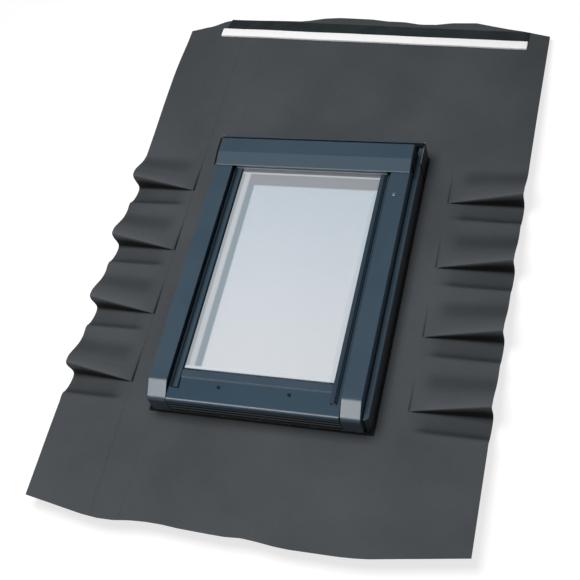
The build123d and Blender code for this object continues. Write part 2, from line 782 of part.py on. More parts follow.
nose = extrude(nose_plane * nose_face, amount=nose_side + nose_side)


def deck_at(y):
    """The height of the sloped deck at one place along the slope."""
    return deck_start - nose_deck_fall * (nose_step_y - y) / (nose_step_y - nose_top_y)


screw_y = nose_step_y - nose_screw_setback
web_front = screw_y - nose_web_thickness / 2
web_back = screw_y + nose_web_thickness / 2
web_top = deck_at(web_front) - nose_deck_thickness / 4
nose += block(-nose_side, nose_side, web_front, web_back, sash_deck, web_top)
strip_end = nose_lip_y - strip_tail
lip_side = strip_inner - sheet_gap
strip_room = block(lip_side, nose_side + overrun, strip_end - sheet_gap, nose_lip_y + overrun,
                   sash_deck - overrun, strip_top + overrun)
nose -= strip_room
nose -= other_side(strip_room)
for number in range(groove_count):
    groove_base = nose_bottom_height + groove_first_rise + number * groove_pitch
    nose -= block(-nose_side - overrun, nose_side + overrun, cover_front - overrun,
                  cover_front + groove_depth, groove_base, groove_base + groove_height)
nose_screws = []
screw_seat = deck_at(screw_y) - nose_screw_sink
head_top = screw_seat + screw_head_height
hole_end = sash_deck - screw_depth
for screw_x in (-nose_screw_spacing / 2, nose_screw_spacing / 2):
    hole = rod_z(screw_x, screw_y, screw_radius + screw_clearance, hole_end, screw_seat + overrun)
    nose -= hole
    nose -= rod_z(screw_x, screw_y, screw_head_radius + screw_clearance, screw_seat, head_top)
    sash_rail_bottom -= hole
    shank = rod_z(screw_x, screw_y, screw_radius, hole_end + screw_clearance, screw_seat)
    nose_screws.append(shank + rod_z(screw_x, screw_y, screw_head_radius, screw_seat, head_top))
save("sash_nose", nose)
save("nose_screws", Compound(children=nose_screws))
save("sash_rail_bottom", sash_rail_bottom)


def pane(base):
    """One sheet of glass at a given height."""
    return block(-pane_side, pane_side, pane_bottom, pane_top, base, base + pane_thickness)


def ring(inset, width, base, height):
    """A rectangular ring that follows the edge of the panes."""
    outer = block(inset - pane_side, pane_side - inset, pane_bottom + inset, pane_top - inset, base,
                  base + height)
    reach = inset + width
    return outer - block(reach - pane_side, pane_side - reach, pane_bottom + reach, pane_top - reach,
                         base - overrun, base + height + overrun)


save("bedding_tape", ring(0, tape_width, sash_deck, tape_height))
save("pane_inner", pane(pane_base))
save("glass_spacer", ring(spacer_inset, spacer_width, cavity_base, pane_cavity))
save("pane_outer", pane(outer_pane_base))

# Rubber under the side strips, the nose lip and the hood lip
rubber_inner = pane_side - glazing_rubber_width
strip_rubber = block(rubber_inner, pane_side, pane_bottom, pane_top, glass_top, strip_base)
lip_rubber = block(-lip_side, lip_side, pane_bottom, nose_lip_y - glazing_rubber_width, glass_top,
                   strip_base)
hood_rubber = block(-strip_inner, strip_inner, hood_front, hood_front + hood_rubber_width, glass_top,
                    glass_top + hood_rubber_height)
rubber_room = block(rubber_inner, pane_side, hood_front - overrun, hood_front + hood_rubber_width + overrun,
                    glass_top - overrun, strip_top)
hood_rubber -= rubber_room
hood_rubber -= other_side(rubber_room)
glazing_rubbers = [strip_rubber, other_side(strip_rubber), lip_rubber, hood_rubber]
save("glazing_rubbers", Compound(children=glazing_rubbers))

# Side strips: an angle that grips the edge of the glass and the side of the stile
side_strip = block(strip_inner, strip_outer, strip_end, pane_top, strip_base, strip_top)
side_strip += block(sash_outer, strip_outer, strip_end, pane_top, strip_top - strip_leg_height, strip_top)
ledge_top = strip_top - strip_ledge_drop
side_strip += block(sash_outer, strip_outer + strip_ledge, strip_end, pane_top,
                    ledge_top - sheet_thickness, ledge_top)
save_pair("sash_strip", side_strip)

# Hood: a creased sheet over the top end, with a lip on the glass, side legs and a back leg
hood_crease = hood_back - hood_length * hood_crease_share
hood_outline = [
    (hood_back, hood_top),
    (hood_crease, hood_top),
    (hood_front, hood_edge),
    (hood_front, hood_edge - sheet_thickness),
    (hood_crease, hood_top - sheet_thickness),
    (hood_back, hood_top - sheet_thickness),
]
hood = prism_x(hood_outline, -cover_outer, cover_outer)
hood += block(-cover_outer, cover_outer, hood_back - sheet_thickness, hood_back, hood_top - hood_back_leg,
              hood_top - sheet_thickness / 2)
hood_lip_side = cover_inner - hood_lip_side_gap
hood_lip_base = glass_top + hood_rubber_height
hood += block(-hood_lip_side, hood_lip_side, hood_front, hood_front + sheet_thickness, hood_lip_base,
              hood_edge - sheet_thickness / 2)
hood_end_y = cover_back + hood_end_gap
hood_end_fall = (hood_top - hood_edge) * (hood_crease - hood_end_y) / (hood_crease - hood_front)
hood_end = [
    (hood_back, hood_top - hood_side_leg),
    (hood_back, hood_top - sheet_thickness / 2),
    (hood_crease, hood_top - sheet_thickness / 2),
    (hood_end_y, hood_top - sheet_thickness - hood_end_fall),
    (hood_end_y, hood_top - hood_side_leg),
]
hood_side = prism_x(hood_end, cover_outer - sheet_thickness, cover_outer)
hood += hood_side
hood += other_side(hood_side)
save("hood", hood)

# End caps of the hood: black mouldings that close its two ends above the collar
cap_base = collar_height + hood_cap_lift
cap_outline = [
    (hood_back, cap_base),
    (hood_back, hood_top),
    (hood_crease, hood_top),
    (hood_front, hood_edge),
    (hood_front, hood_edge - hood_cap_edge),
    (hood_end_y, hood_top - hood_end_fall - hood_cap_edge),
    (hood_end_y, cap_base),
]
hood_cap = prism_x(cap_outline, cover_outer, cover_outer + hood_cap_width)
save("hood_caps", Compound(children=[hood_cap, other_side(hood_cap)]))

# Posts on the sash's top rail that carry the hood
hood_posts = []
post_x = hinge_x - hinge_length / 2 - hood_post_gap - hood_post_length / 2
for post_middle in (-post_x, 0, post_x):
    post_left = post_middle - hood_post_length / 2
    post_front = pane_top + sheet_thickness
    hood_posts.append(block(post_left, post_left + hood_post_length, post_front,
                            post_front + hood_post_width, sash_deck, hood_top - sheet_thickness))
save("hood_posts", Compound(children=hood_posts))

# Handle: a plate on the bottom rail, and a lever with its spindle and cam
plate_front = sash_bottom_inner + handle_plate_thickness
handle_plate = block(-handle_plate_width / 2, handle_plate_width / 2, sash_bottom_inner, plate_front,
                     handle_z - handle_plate_height / 2, handle_z + handle_plate_height / 2)
plate_corners = handle_plate.edges().filter_by(Axis.Y)
handle_plate = fillet(plate_corners, handle_plate_thickness)
handle_plate -= rod_y(0, handle_z, spindle_radius + spindle_clearance, sash_bottom_inner - overrun,
                      plate_front + overrun)
save("handle_plate", handle_plate)

lever_back = plate_front + handle_gap
lever_face = lever_back + handle_hub_length
arm_back = lever_face - lever_thickness
cam_front = sash_bottom - cam_gap
lever = rod_y(0, handle_z, handle_hub_radius, lever_back, lever_face)
lever_tip = handle_z - lever_length + lever_width / 2
lever += block(-lever_width / 2, lever_width / 2, arm_back, lever_face, lever_tip, handle_z)
lever += rod_y(0, lever_tip, lever_width / 2, arm_back, lever_face)
lever += rod_y(0, handle_z, spindle_radius, cam_front, lever_back)
save("handle_lever", lever)

cam_face = cam_front - cam_thickness
cam = rod_y(0, handle_z, cam_radius, cam_face, cam_front)
cam += block(-cam_width / 2, cam_width / 2, cam_face, cam_front, handle_z - cam_length, handle_z)
save("latch_cam", cam)

# Stay bar on the inside of the right sash stile, with its pin
stay_outer = sash_inner - stay_gap
stay_inner = stay_outer - stay_thickness
stay_far = stay_y + stay_length
stay_bar = block(stay_inner, stay_outer, stay_y, stay_far, handle_z - stay_width / 2,
                 handle_z + stay_width / 2)
stay_bar += rod_x(stay_y, handle_z, stay_width / 2, stay_inner, stay_outer)
stay_bar += rod_x(stay_far, handle_z, stay_width / 2, stay_inner, stay_outer)
stay_bar -= rod_x(stay_y, handle_z, stay_pin_radius + stay_pin_clearance, stay_inner - overrun,
                  stay_outer + overrun)
for number in range(stay_notch_count):
    notch_y = stay_far - stay_notch_end - number * stay_notch_pitch
    stay_bar -= rod_x(notch_y, handle_z - stay_width / 2, stay_notch_radius, stay_inner - overrun,
                      stay_outer + overrun)
save("stay_bar", stay_bar)
head_end = stay_inner - sheet_gap - stay_pin_head
stay_pin = rod_x(stay_y, handle_z, stay_pin_radius, stay_inner - sheet_gap, stay_pin_end)
stay_pin += rod_x(stay_y, handle_z, stay_pin_head_radius, head_end, stay_inner - sheet_gap)
save("stay_pin", stay_pin)
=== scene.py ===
import math

import bpy
from mathutils import Matrix, Vector, noise


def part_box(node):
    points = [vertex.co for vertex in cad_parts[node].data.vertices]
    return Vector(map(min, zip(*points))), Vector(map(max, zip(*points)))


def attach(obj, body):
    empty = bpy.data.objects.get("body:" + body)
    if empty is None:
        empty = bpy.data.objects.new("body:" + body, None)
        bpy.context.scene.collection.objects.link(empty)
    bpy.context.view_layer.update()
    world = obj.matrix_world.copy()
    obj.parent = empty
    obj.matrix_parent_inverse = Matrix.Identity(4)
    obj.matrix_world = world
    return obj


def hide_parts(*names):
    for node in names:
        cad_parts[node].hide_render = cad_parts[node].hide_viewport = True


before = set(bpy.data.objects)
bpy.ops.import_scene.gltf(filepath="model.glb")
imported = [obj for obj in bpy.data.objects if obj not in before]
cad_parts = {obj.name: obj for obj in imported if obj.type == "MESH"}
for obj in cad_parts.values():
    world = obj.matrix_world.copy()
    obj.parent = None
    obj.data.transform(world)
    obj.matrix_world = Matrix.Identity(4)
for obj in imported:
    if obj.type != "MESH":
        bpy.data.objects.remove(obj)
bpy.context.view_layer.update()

# Outer frame and sash frame: planed softwood bars, glued at the corners and sprayed with
# white satin lacquer, through which a little of the grain still shows along each bar. The outer
# frame's upper rebate, under the covers, is painted black as shade for the dark gap beside
# the sash.
LACQUER_WHITE = (0.80, 0.80, 0.785, 1)
LACQUER_SHADE = (0.77, 0.77, 0.75, 1)
GRAIN_ALONG = 5.0
GRAIN_ACROSS = 160.0
BAR_EDGE = 0.0012
# Black painted shade above this height, for the dark gap under the covers.
GAP_SHADE_BLACK = (0.006, 0.006, 0.007, 1)
GAP_SHADE_HEIGHT = 0.095


class Tone:
    """One socket in a finish. Arithmetic on tones adds Math nodes, and add() puts in any other node."""

    def __init__(self, tree, socket=None):
        self.tree = tree
        self.socket = socket

    def add(self, kind, settings=None, values=None, output=0):
        made = self.tree.nodes.new("ShaderNode" + kind)
        for name, setting in (settings or {}).items():
            setattr(made, name, setting)
        for name, value in (values or {}).items():
            if isinstance(value, Tone):
                self.tree.links.new(value.socket, made.inputs[name])
            else:
                made.inputs[name].default_value = value
        return Tone(self.tree, made.outputs[output])

    def sibling(self, output):
        return Tone(self.tree, self.socket.node.outputs[output])

    def feed(self, shader, name):
        self.tree.links.new(self.socket, shader.inputs[name])

    def math(self, operation, *terms):
        return self.add("Math", {"operation": operation}, dict(enumerate(terms)))

    def __add__(self, other):
        return self.math("ADD", self, other)

    def __sub__(self, other):
        return self.math("SUBTRACT", self, other)

    def __rsub__(self, other):
        return self.math("SUBTRACT", other, self)

    def __mul__(self, other):
        return self.math("MULTIPLY", self, other)

    __radd__ = __add__
    __rmul__ = __mul__


def new_finish(name, **constants):
    """A material, the tone from which its nodes are added, and its surface shader."""
    material = bpy.data.materials.new(name)
    material.use_nodes = True
    shader = material.node_tree.nodes["Principled BSDF"]
    for socket, value in constants.items():
        shader.inputs[socket.replace("_", " ")].default_value = value
    return material, Tone(material.node_tree), shader


def between(mask, low, high):
    """The colour that a mask from 0 to 1 picks between two colours."""
    return mask.add("Mix", {"data_type": "RGBA"}, {0: mask, 6: low, 7: high}, 2)


def mottle(start, place, scale, detail=2.0):
    """Cloudy variation from 0 to 1, with about scale clouds to the metre."""
    return start.add("TexNoise", None, {"Vector": place, "Scale": scale, "Detail": detail}, "Fac")


def ramp(value, low, high, low_to=0.0, high_to=1.0):
    """The value stretched from one span to another and held at its ends."""
    spans = {"Value": value, "From Min": low, "From Max": high, "To Min": low_to, "To Max": high_to}
    return value.add("MapRange", {"interpolation_type": "SMOOTHSTEP"}, spans, "Result")


def past(value, edge, blend):
    """A mask that goes from 0 to 1 as the value passes an edge, blended this far to each side of it."""
    return ramp(value, edge - blend, edge + blend)


def short_of(value, edge, blend):
    """A mask that goes from 1 to 0 as the value passes an edge, blended this far to each side of it."""
    return ramp(value, edge - blend, edge + blend, 1.0, 0.0)


def emboss(height, shader, depth, edge=None, strength=1.0):
    """Raises the surface by a height from 0 to 1, and rounds hard edges by the given radius."""
    values = {"Height": height, "Distance": depth, "Strength": strength}
    if edge:
        values["Normal"] = height.add("Bevel", {"samples": 6}, {"Radius": edge})
    height.add("Bump", None, values).feed(shader, "Normal")


def dress(material, *names):
    """Puts a finish on the CAD nodes of these names."""
    for name in names:
        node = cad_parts[name]
        node.data.materials.clear()
        node.data.materials.append(material)


def white_lacquer(name, stretch, gap_shaded):
    """Lacquer with its grain stretched along the bar, and black painted shade above a height where asked
    for.
    """
    material, start, shader = new_finish(name, Specular_IOR_Level=0.45)
    place = start.add("TexCoord", output="Object")
    along = start.add("VectorMath", {"operation": "MULTIPLY"}, {0: place, 1: stretch})
    grain = mottle(start, along, 1.0, 4.0)
    peel = mottle(start, place, 500.0)
    colour = between(ramp(grain, 0.35, 0.70), LACQUER_WHITE, LACQUER_SHADE)
    if gap_shaded:
        # Above the height: black painted shade for the gap under the covers.
        height = start.add("SeparateXYZ", None, {"Vector": place}, "Z")
        colour = between(past(height, GAP_SHADE_HEIGHT, 0.001), colour, GAP_SHADE_BLACK)
    colour.feed(shader, "Base Color")
    (0.34 + 0.10 * peel + 0.06 * grain).feed(shader, "Roughness")
    emboss(0.7 * grain + 0.3 * peel, shader, 0.00005, BAR_EDGE)
    return material


for bars, gap_shaded in (("frame", True), ("sash", False)):
    long_ways = white_lacquer(bars + "_lacquer_long", (GRAIN_ACROSS, GRAIN_ALONG, GRAIN_ACROSS), gap_shaded)
    cross_ways = white_lacquer(bars + "_lacquer_cross", (GRAIN_ALONG, GRAIN_ACROSS, GRAIN_ACROSS), gap_shaded)
    dress(long_ways, bars + "_stile_left", bars + "_stile_right")
    dress(cross_ways, bars + "_rail_top", bars + "_rail_bottom")

# Seals: extruded black rubber under the sash, round the glass and along the back of the collar,
# pressed into place, with the dull bloom and fine drag lines that extruded rubber has. The length
# under the hood is grey.
RUBBER_BLACK = (0.006, 0.007, 0.008, 1)
RUBBER_BLOOM = (0.011, 0.012, 0.013, 1)
RUBBER_GREY = (0.340, 0.360, 0.400, 1)
HOOD_MARGIN = 0.0015
GLASS_MARGIN = 0.00075

rubber, start, shader = new_finish("black_rubber", Specular_IOR_Level=0.1)
place = start.add("TexCoord", output="Object")
bloom = mottle(start, place, 45.0, 3.0)
drag = mottle(start, place, 900.0)
colour = between(ramp(bloom, 0.4, 0.7), RUBBER_BLACK, RUBBER_BLOOM)
hood_front, glass_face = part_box("hood")[0].y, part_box("pane_outer")[1].z
along = start.add("SeparateXYZ", None, {"Vector": place}, "Y")
under_hood = past(along - hood_front, -HOOD_MARGIN, 0.0005)
over_glass = past(along.sibling("Z") - glass_face, -GLASS_MARGIN, 0.00025)
between(under_hood * over_glass, colour, RUBBER_GREY).feed(shader, "Base Color")
(0.62 + 0.16 * bloom).feed(shader, "Roughness")
emboss(drag, shader, 0.0002)
dress(rubber, "frame_seal", "glazing_rubbers", "bedding_tape", "collar_gasket")

# Fixing brackets, hinges, pins, keeper, cam and screws: pressed or turned steel, zinc plated,
# with the faint crystal patches of the plating and a slightly milky gloss.
ZINC_LIGHT = (0.62, 0.63, 0.64, 1)
ZINC_DARK = (0.46, 0.47, 0.49, 1)
ZINC_NODES = ("fixing_brackets", "bracket_screws", "hinge_leaf_frame_left", "hinge_leaf_frame_right",
              "hinge_leaf_sash_left", "hinge_leaf_sash_right", "hinge_pins", "hinge_screws_frame",
              "hinge_screws_sash", "latch_keeper", "latch_cam", "stay_peg", "stay_pin", "cover_screw")

zinc, start, shader = new_finish("zinc_plate", Metallic=1.0)
place = start.add("TexCoord", output="Object")
crystal = start.add("TexVoronoi", None, {"Vector": place, "Scale": 140.0}, "Color")
patch = start.add("SeparateColor", None, {"Color": crystal}, "Red")
haze = mottle(start, place, 60.0, 3.0)
between(0.6 * patch + 0.4 * haze, ZINC_DARK, ZINC_LIGHT).feed(shader, "Base Color")
(0.30 + 0.18 * haze).feed(shader, "Roughness")
emboss(haze, shader, 0.0001, 0.0004)
dress(zinc, *ZINC_NODES)

# Collar front: a low upright strip of aluminium sheet below the nose, folded at its foot and powder
# coated in satin slate blue, as the other pieces of sheet metal are.
SLATE_BLUE = (0.028, 0.051, 0.073, 1)
SLATE_BLUE_PALE = (0.034, 0.058, 0.081, 1)
# Near black, painted as shade in gaps, grooves, wrapped ends and along edges.
SLATE_SHADE_DARK = (0.005, 0.007, 0.010, 1)
FOLD_RADIUS = 0.0012


def slate_coat(name, fold=FOLD_RADIUS, gloss=0.5):
    """The powder coat, with the parts from which each piece's own shading is made."""
    material, start, shader = new_finish(name, Specular_IOR_Level=gloss)
    place = start.add("TexCoord", output="Object")
    cloud = mottle(start, place, 7.0, 3.0)
    peel = mottle(start, place, 620.0, 1.0)
    colour = between(ramp(cloud, 0.30, 0.70), SLATE_BLUE, SLATE_BLUE_PALE)
    colour.feed(shader, "Base Color")
    (0.27 + 0.07 * cloud + 0.05 * peel).feed(shader, "Roughness")
    emboss(peel, shader, 0.00012, fold)
    sideways = start.add("SeparateXYZ", None, {"Vector": place}, "X")
    return material, shader, colour, sideways


dress(slate_coat("collar_front_coat")[0], "collar_front")

# Collar sides: upright sheet along the frame, with a foot under the skirt. They are blue along
# their top edge only, because the membrane is wrapped up the wall below it; that wall is painted
# a darker charcoal than the membrane, as painted shade.
# The wrapped wall: membrane painted darker than it is, as shade.
WRAP_CHARCOAL_SHADE = (0.028, 0.029, 0.033, 1)
WRAP_DROP = 0.005

collar_coat, shader, colour, sideways = slate_coat("collar_coat")
bare = past(sideways.sibling("Z"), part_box("collar_side_right")[1].z - WRAP_DROP, 0.0006)
between(bare, WRAP_CHARCOAL_SHADE, colour).feed(shader, "Base Color")
dress(collar_coat, "collar_side_left", "collar_side_right")

# Collar back: a folded gutter of the same sheet behind the hood. The membrane wrapped round both
# of its ends is painted near black as shade, and the bare cut edge on top of each carries a
# painted highlight.
# Painted highlight on the bare cut edges.
CUT_EDGE_HIGHLIGHT = (0.170, 0.190, 0.210, 1)
CUT_THICK = 0.0010
WRAP_THICK = 0.0019

back_coat, shader, colour, sideways = slate_coat("collar_back_coat")
back_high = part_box("collar_back")[1]
# Wrapped ends painted near black as shade; cut edges with a painted highlight.
wrap_shade = past(sideways.math("ABSOLUTE", sideways), back_high.x - WRAP_THICK, 0.0003)
cut = past(sideways.sibling("Z"), back_high.z - CUT_THICK, 0.0004)
between(wrap_shade, colour, between(cut, SLATE_SHADE_DARK, CUT_EDGE_HIGHLIGHT)).feed(shader, "Base Color")
dress(back_coat, "collar_back")

# Soft skirt: a dark grey flashing membrane with a fine slanting weave pressed into it, welded to
# the collar's foot, along which a black line is painted as contact shadow. Its wings are gathered
# into pleats that fan out from the collar, so that it can be dressed down over tiles. Crests carry
# a painted highlight, and the walls and troughs of the folds and their creases painted shade.
MEMBRANE_DARK = (0.044, 0.049, 0.054, 1)
MEMBRANE_LIGHT = (0.064, 0.071, 0.078, 1)
# Painted highlight on crests; near black painted shade in folds, creases and along the collar's foot.
CREST_HIGHLIGHT = (0.080, 0.088, 0.096, 1)
PAINTED_SHADE_BLACK = (0.002, 0.002, 0.002, 1)
SEAM_SHADE = (0.026, 0.028, 0.031, 1)
WEAVE_PERIOD = 0.0062
SEAM_OUT = 0.3205
SEAM_HALF = 0.0009
STITCH_OUT = 0.2520
STITCH_HALF = 0.00075
STITCH_PERIOD = 0.009
# Width of the black line painted as contact shadow along the collar's foot.
CONTACT_SHADE_WIDTH = 0.0032
SHEET_THICK = 0.003
PLEAT_LAP = 0.0656
PLEAT_PITCH = 0.180
PLEAT_HEIGHT = 0.029
PLEAT_COUNT = 4
FIRST_PLEAT_DROP = 0.121
SKIRT_DROOP = 0.034
LEFT_CORNER_SAG = 0.012
SAG_START_X = 0.375
SAG_WIDTH = 0.06
SAG_START_Y = 0.60
SAG_LENGTH = 0.20
RIPPLE = 0.0016
RIPPLE_SCALE = 7.0
RIPPLE_REACH = 0.12
CREASE_WIDTH = 0.0032
CREASE_LENGTH = 0.105
CREASE_START = 0.008
# How much painted shade a crease gets for its depth.
CREASE_SHADE = 240.0
LEFT_CREASE = 0.0042
RIGHT_CREASE = 0.0024
LAP_SHARES = (0, 0.15, 0.3, 0.45, 0.6, 0.72, 0.84, 0.92)
CREASE_COLUMNS = 8
WING_COLUMNS = 30
APRON_COLUMNS = 44
TAB_COLUMNS = 40
TOP_ROWS = 44
BOTTOM_ROWS = 24
APRON_ROWS = 40
ROWS_PER_STEP = 4
# How far out from the tips painted light and shade reach; dark shade reaches further.
PAINT_REACH = 4
SHADE_REACH = 16
STILE_GAP = 0.0003
COLLAR_FOOT = 0.016
COLLAR_LEAN = 0.0066

# One pleat from crest to crest: flat place, place at the outer edge, rise, and painted light and shade
# (pale on lit crests, dark on shaded walls and troughs), in shares.
PLEAT_LINE = (
    (0.000, -0.100, 1.00, 0.50),
    (0.006, -0.084, 0.97, 0.50),
    (0.012, -0.070, 0.86, 0.20),
    (0.016, -0.062, 0.66, -0.10),
    (0.019, -0.062, 0.36, -0.50),
    (0.022, -0.068, 0.00, -0.90),
    (0.025, -0.074, -0.36, -1.00),
    (0.029, -0.072, -0.66, -1.00),
    (0.036, -0.056, -0.82, -0.60),
    (0.052, -0.028, -0.88, -0.30),
    (0.082, 0.012, -0.88, -0.25),
    (0.130, 0.080, -0.80, -0.28),
    (0.190, 0.160, -0.64, -0.36),
    (0.250, 0.225, -0.42, -0.55),
    (0.285, 0.265, -0.22, -0.30),
    (0.320, 0.305, -0.14, 0.15),
    (0.370, 0.355, -0.14, 0.10),
    (0.430, 0.410, -0.17, 0.00),
    (0.500, 0.470, -0.12, -0.20),
    (0.580, 0.545, 0.02, -0.35),
    (0.670, 0.630, 0.28, -0.35),
    (0.770, 0.725, 0.62, -0.20),
    (0.880, 0.820, 0.92, 0.15),
    (1.000, 0.900, 1.00, 0.50),
)
LOW_STEP = 17

# The skirt's wavy top and bottom edges: x, and how far up the edge stands from its straight line.
TOP_EDGE = (
    (-0.486, -0.0420), (-0.466, -0.0350), (-0.445, -0.0270), (-0.423, -0.0205), (-0.402, -0.0155),
    (-0.375, -0.0100), (-0.340, -0.0070), (-0.175, -0.0060), (-0.153, -0.0030), (-0.110, 0.0070),
    (-0.066, 0.0110), (-0.021, 0.0100), (0.023, 0.0090), (0.068, 0.0030), (0.111, 0.0020),
    (0.156, -0.0060), (0.198, -0.0050), (0.239, 0.0030), (0.302, 0.0055), (0.345, -0.0050),
    (0.387, -0.0145), (0.430, -0.0220), (0.470, -0.0315), (0.496, -0.0375),
)
BOTTOM_EDGE = (
    (-0.486, 0.0212), (-0.424, 0.0110), (-0.341, -0.0033), (-0.301, -0.0074), (-0.264, -0.0068),
    (-0.228, -0.0020), (-0.191, 0.0000), (-0.154, -0.0006), (-0.117, -0.0036), (-0.044, -0.0063),
    (-0.008, -0.0071), (0.026, -0.0046), (0.062, -0.0074), (0.097, -0.0114), (0.132, -0.0133),
    (0.232, -0.0125), (0.265, -0.0110), (0.297, -0.0079), (0.328, -0.0030), (0.390, 0.0069),
    (0.452, 0.0171), (0.496, 0.0240),
)

wing_low, wing_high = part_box("skirt_wing_right")
left_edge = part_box("skirt_wing_left")[0].x
apron_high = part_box("skirt_apron_bottom")[1]
skirt_plane = apron_high.z
skirt_top = wing_high.y
skirt_bottom = wing_low.y
collar_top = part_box("collar_back")[1].y
foot_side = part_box("collar_side_right")[1].x
foot_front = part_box("collar_front")[0].y
foot_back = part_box("skirt_apron_top")[0].y
apron_edge = foot_front + COLLAR_FOOT + COLLAR_LEAN
first_pleat_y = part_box("frame_rail_top")[1].y - FIRST_PLEAT_DROP


def ease(value):
    """A smooth step from 0 to 1."""
    held = min(1.0, max(0.0, value))
    return held * held * (3 - 2 * held)


def skirt_level(x, y):
    """Height of the sheet's upper face before pleating: it hangs at the top corners and ripples softly."""
    across = (x - left_edge) / (wing_high.x - left_edge)
    along = max(0.0, (y - collar_top) / (skirt_top - collar_top))
    corner = ease((-x - SAG_START_X) / SAG_WIDTH) * ease((y - SAG_START_Y) / SAG_LENGTH)
    free = ease(max(abs(x) - foot_side, y - collar_top, foot_front - y) / RIPPLE_REACH)
    ripple = RIPPLE * free * noise.noise(Vector((RIPPLE_SCALE * x, RIPPLE_SCALE * y, 0.3)))
    return skirt_plane - SKIRT_DROOP * across * along - LEFT_CORNER_SAG * corner + ripple


def wave(edge, x):
    """How far up a wavy edge stands from its straight line at x."""
    for (left, low), (right, high) in zip(edge, edge[1:]):
        if x <= right:
            break
    return low + (high - low) * (x - left) / (right - left)


def curve_through(points, steps):
    """Points on a smooth line through the given ones, with this many steps between each two."""
    line = []
    for number in range(len(points) - 1):
        before = points[max(0, number - 1)]
        here, there = points[number], points[number + 1]
        after = points[min(len(points) - 1, number + 2)]
        for step in range(steps):
            share = step / steps
            spot = []
            for a, b, c, d in zip(before, here, there, after):
                bend = 2 * a - 5 * b + 4 * c - d + share * (3 * (b - c) + d - a)
                spot.append(b + 0.5 * share * (c - a + share * bend))
            line.append(tuple(spot))
    line.append(tuple(points[-1]))
    return line


def pleat_rows():
    """The wing's rows below its plain top: y at the tips, y at the edge, rise at the edge and painted light
    and shade.
    """
    whole = curve_through(PLEAT_LINE, ROWS_PER_STEP)
    split = LOW_STEP * ROWS_PER_STEP
    rows = []
    for number in range(PLEAT_COUNT + 1):
        crest = first_pleat_y - (number - 1) * PLEAT_PITCH
        part = whole[:-1]
        if number == 0:
            part = whole[split:-1]
        elif number == PLEAT_COUNT:
            part = whole[:split]
        for flat, edge, rise, shade_and_wear in part:
            rows.append((crest - flat * PLEAT_PITCH, crest - edge * PLEAT_PITCH, rise * PLEAT_HEIGHT, shade_and_wear))
    return rows


def sheet_mesh(name, grid, skip=None):
    """A sheet through a grid of points, each with its painted light and shade, thickened downwards."""
    wide = len(grid[0])
    points = [point for row in grid for point in row]
    faces = []
    for row in range(len(grid) - 1):
        for column in range(wide - 1):
            if skip and skip(row, column):
                continue
            corner = row * wide + column
            faces.append((corner, corner + wide, corner + wide + 1, corner + 1))
    used = sorted({vertex for face in faces for vertex in face})
    order = {old: new for new, old in enumerate(used)}
    upper = [Vector(points[old][:3]) for old in used]
    faces = [tuple(order[vertex] for vertex in face) for face in faces]
    top = bpy.data.meshes.new(name + "_top")
    top.from_pydata(upper, [], faces)
    count = len(upper)
    lower = [point - vertex.normal * SHEET_THICK for point, vertex in zip(upper, top.vertices)]
    bpy.data.meshes.remove(top)
    sides = {}
    for face in faces:
        for edge in zip(face, face[1:] + face[:1]):
            sides[edge] = True
    rims = [edge for edge in sides if edge[::-1] not in sides]
    under = [tuple(vertex + count for vertex in reversed(face)) for face in faces]
    walls = [(second, first, first + count, second + count) for first, second in rims]
    mesh = bpy.data.meshes.new(name)
    mesh.from_pydata(upper + lower, [], faces + under + walls)
    mesh.polygons.foreach_set("use_smooth", [True] * len(mesh.polygons))
    # Painted light and shade of each point, kept on the mesh.
    painted_shading = mesh.attributes.new("shade_and_wear", "FLOAT", "POINT")
    painted_shading.data.foreach_set("value", [points[old][3] for old in used] * 2)
    sharp = {frozenset(edge) for edge in rims} | {frozenset(end + count for end in edge) for edge in rims}
    for edge in mesh.edges:
        edge.use_edge_sharp = frozenset(edge.vertices) in sharp
    piece = bpy.data.objects.new(name, mesh)
    bpy.context.collection.objects.link(piece)
    return piece


def spread(low, high, count):
    """Evenly spread values from low to high."""
    return [low + (high - low) * step / count for step in range(count + 1)]


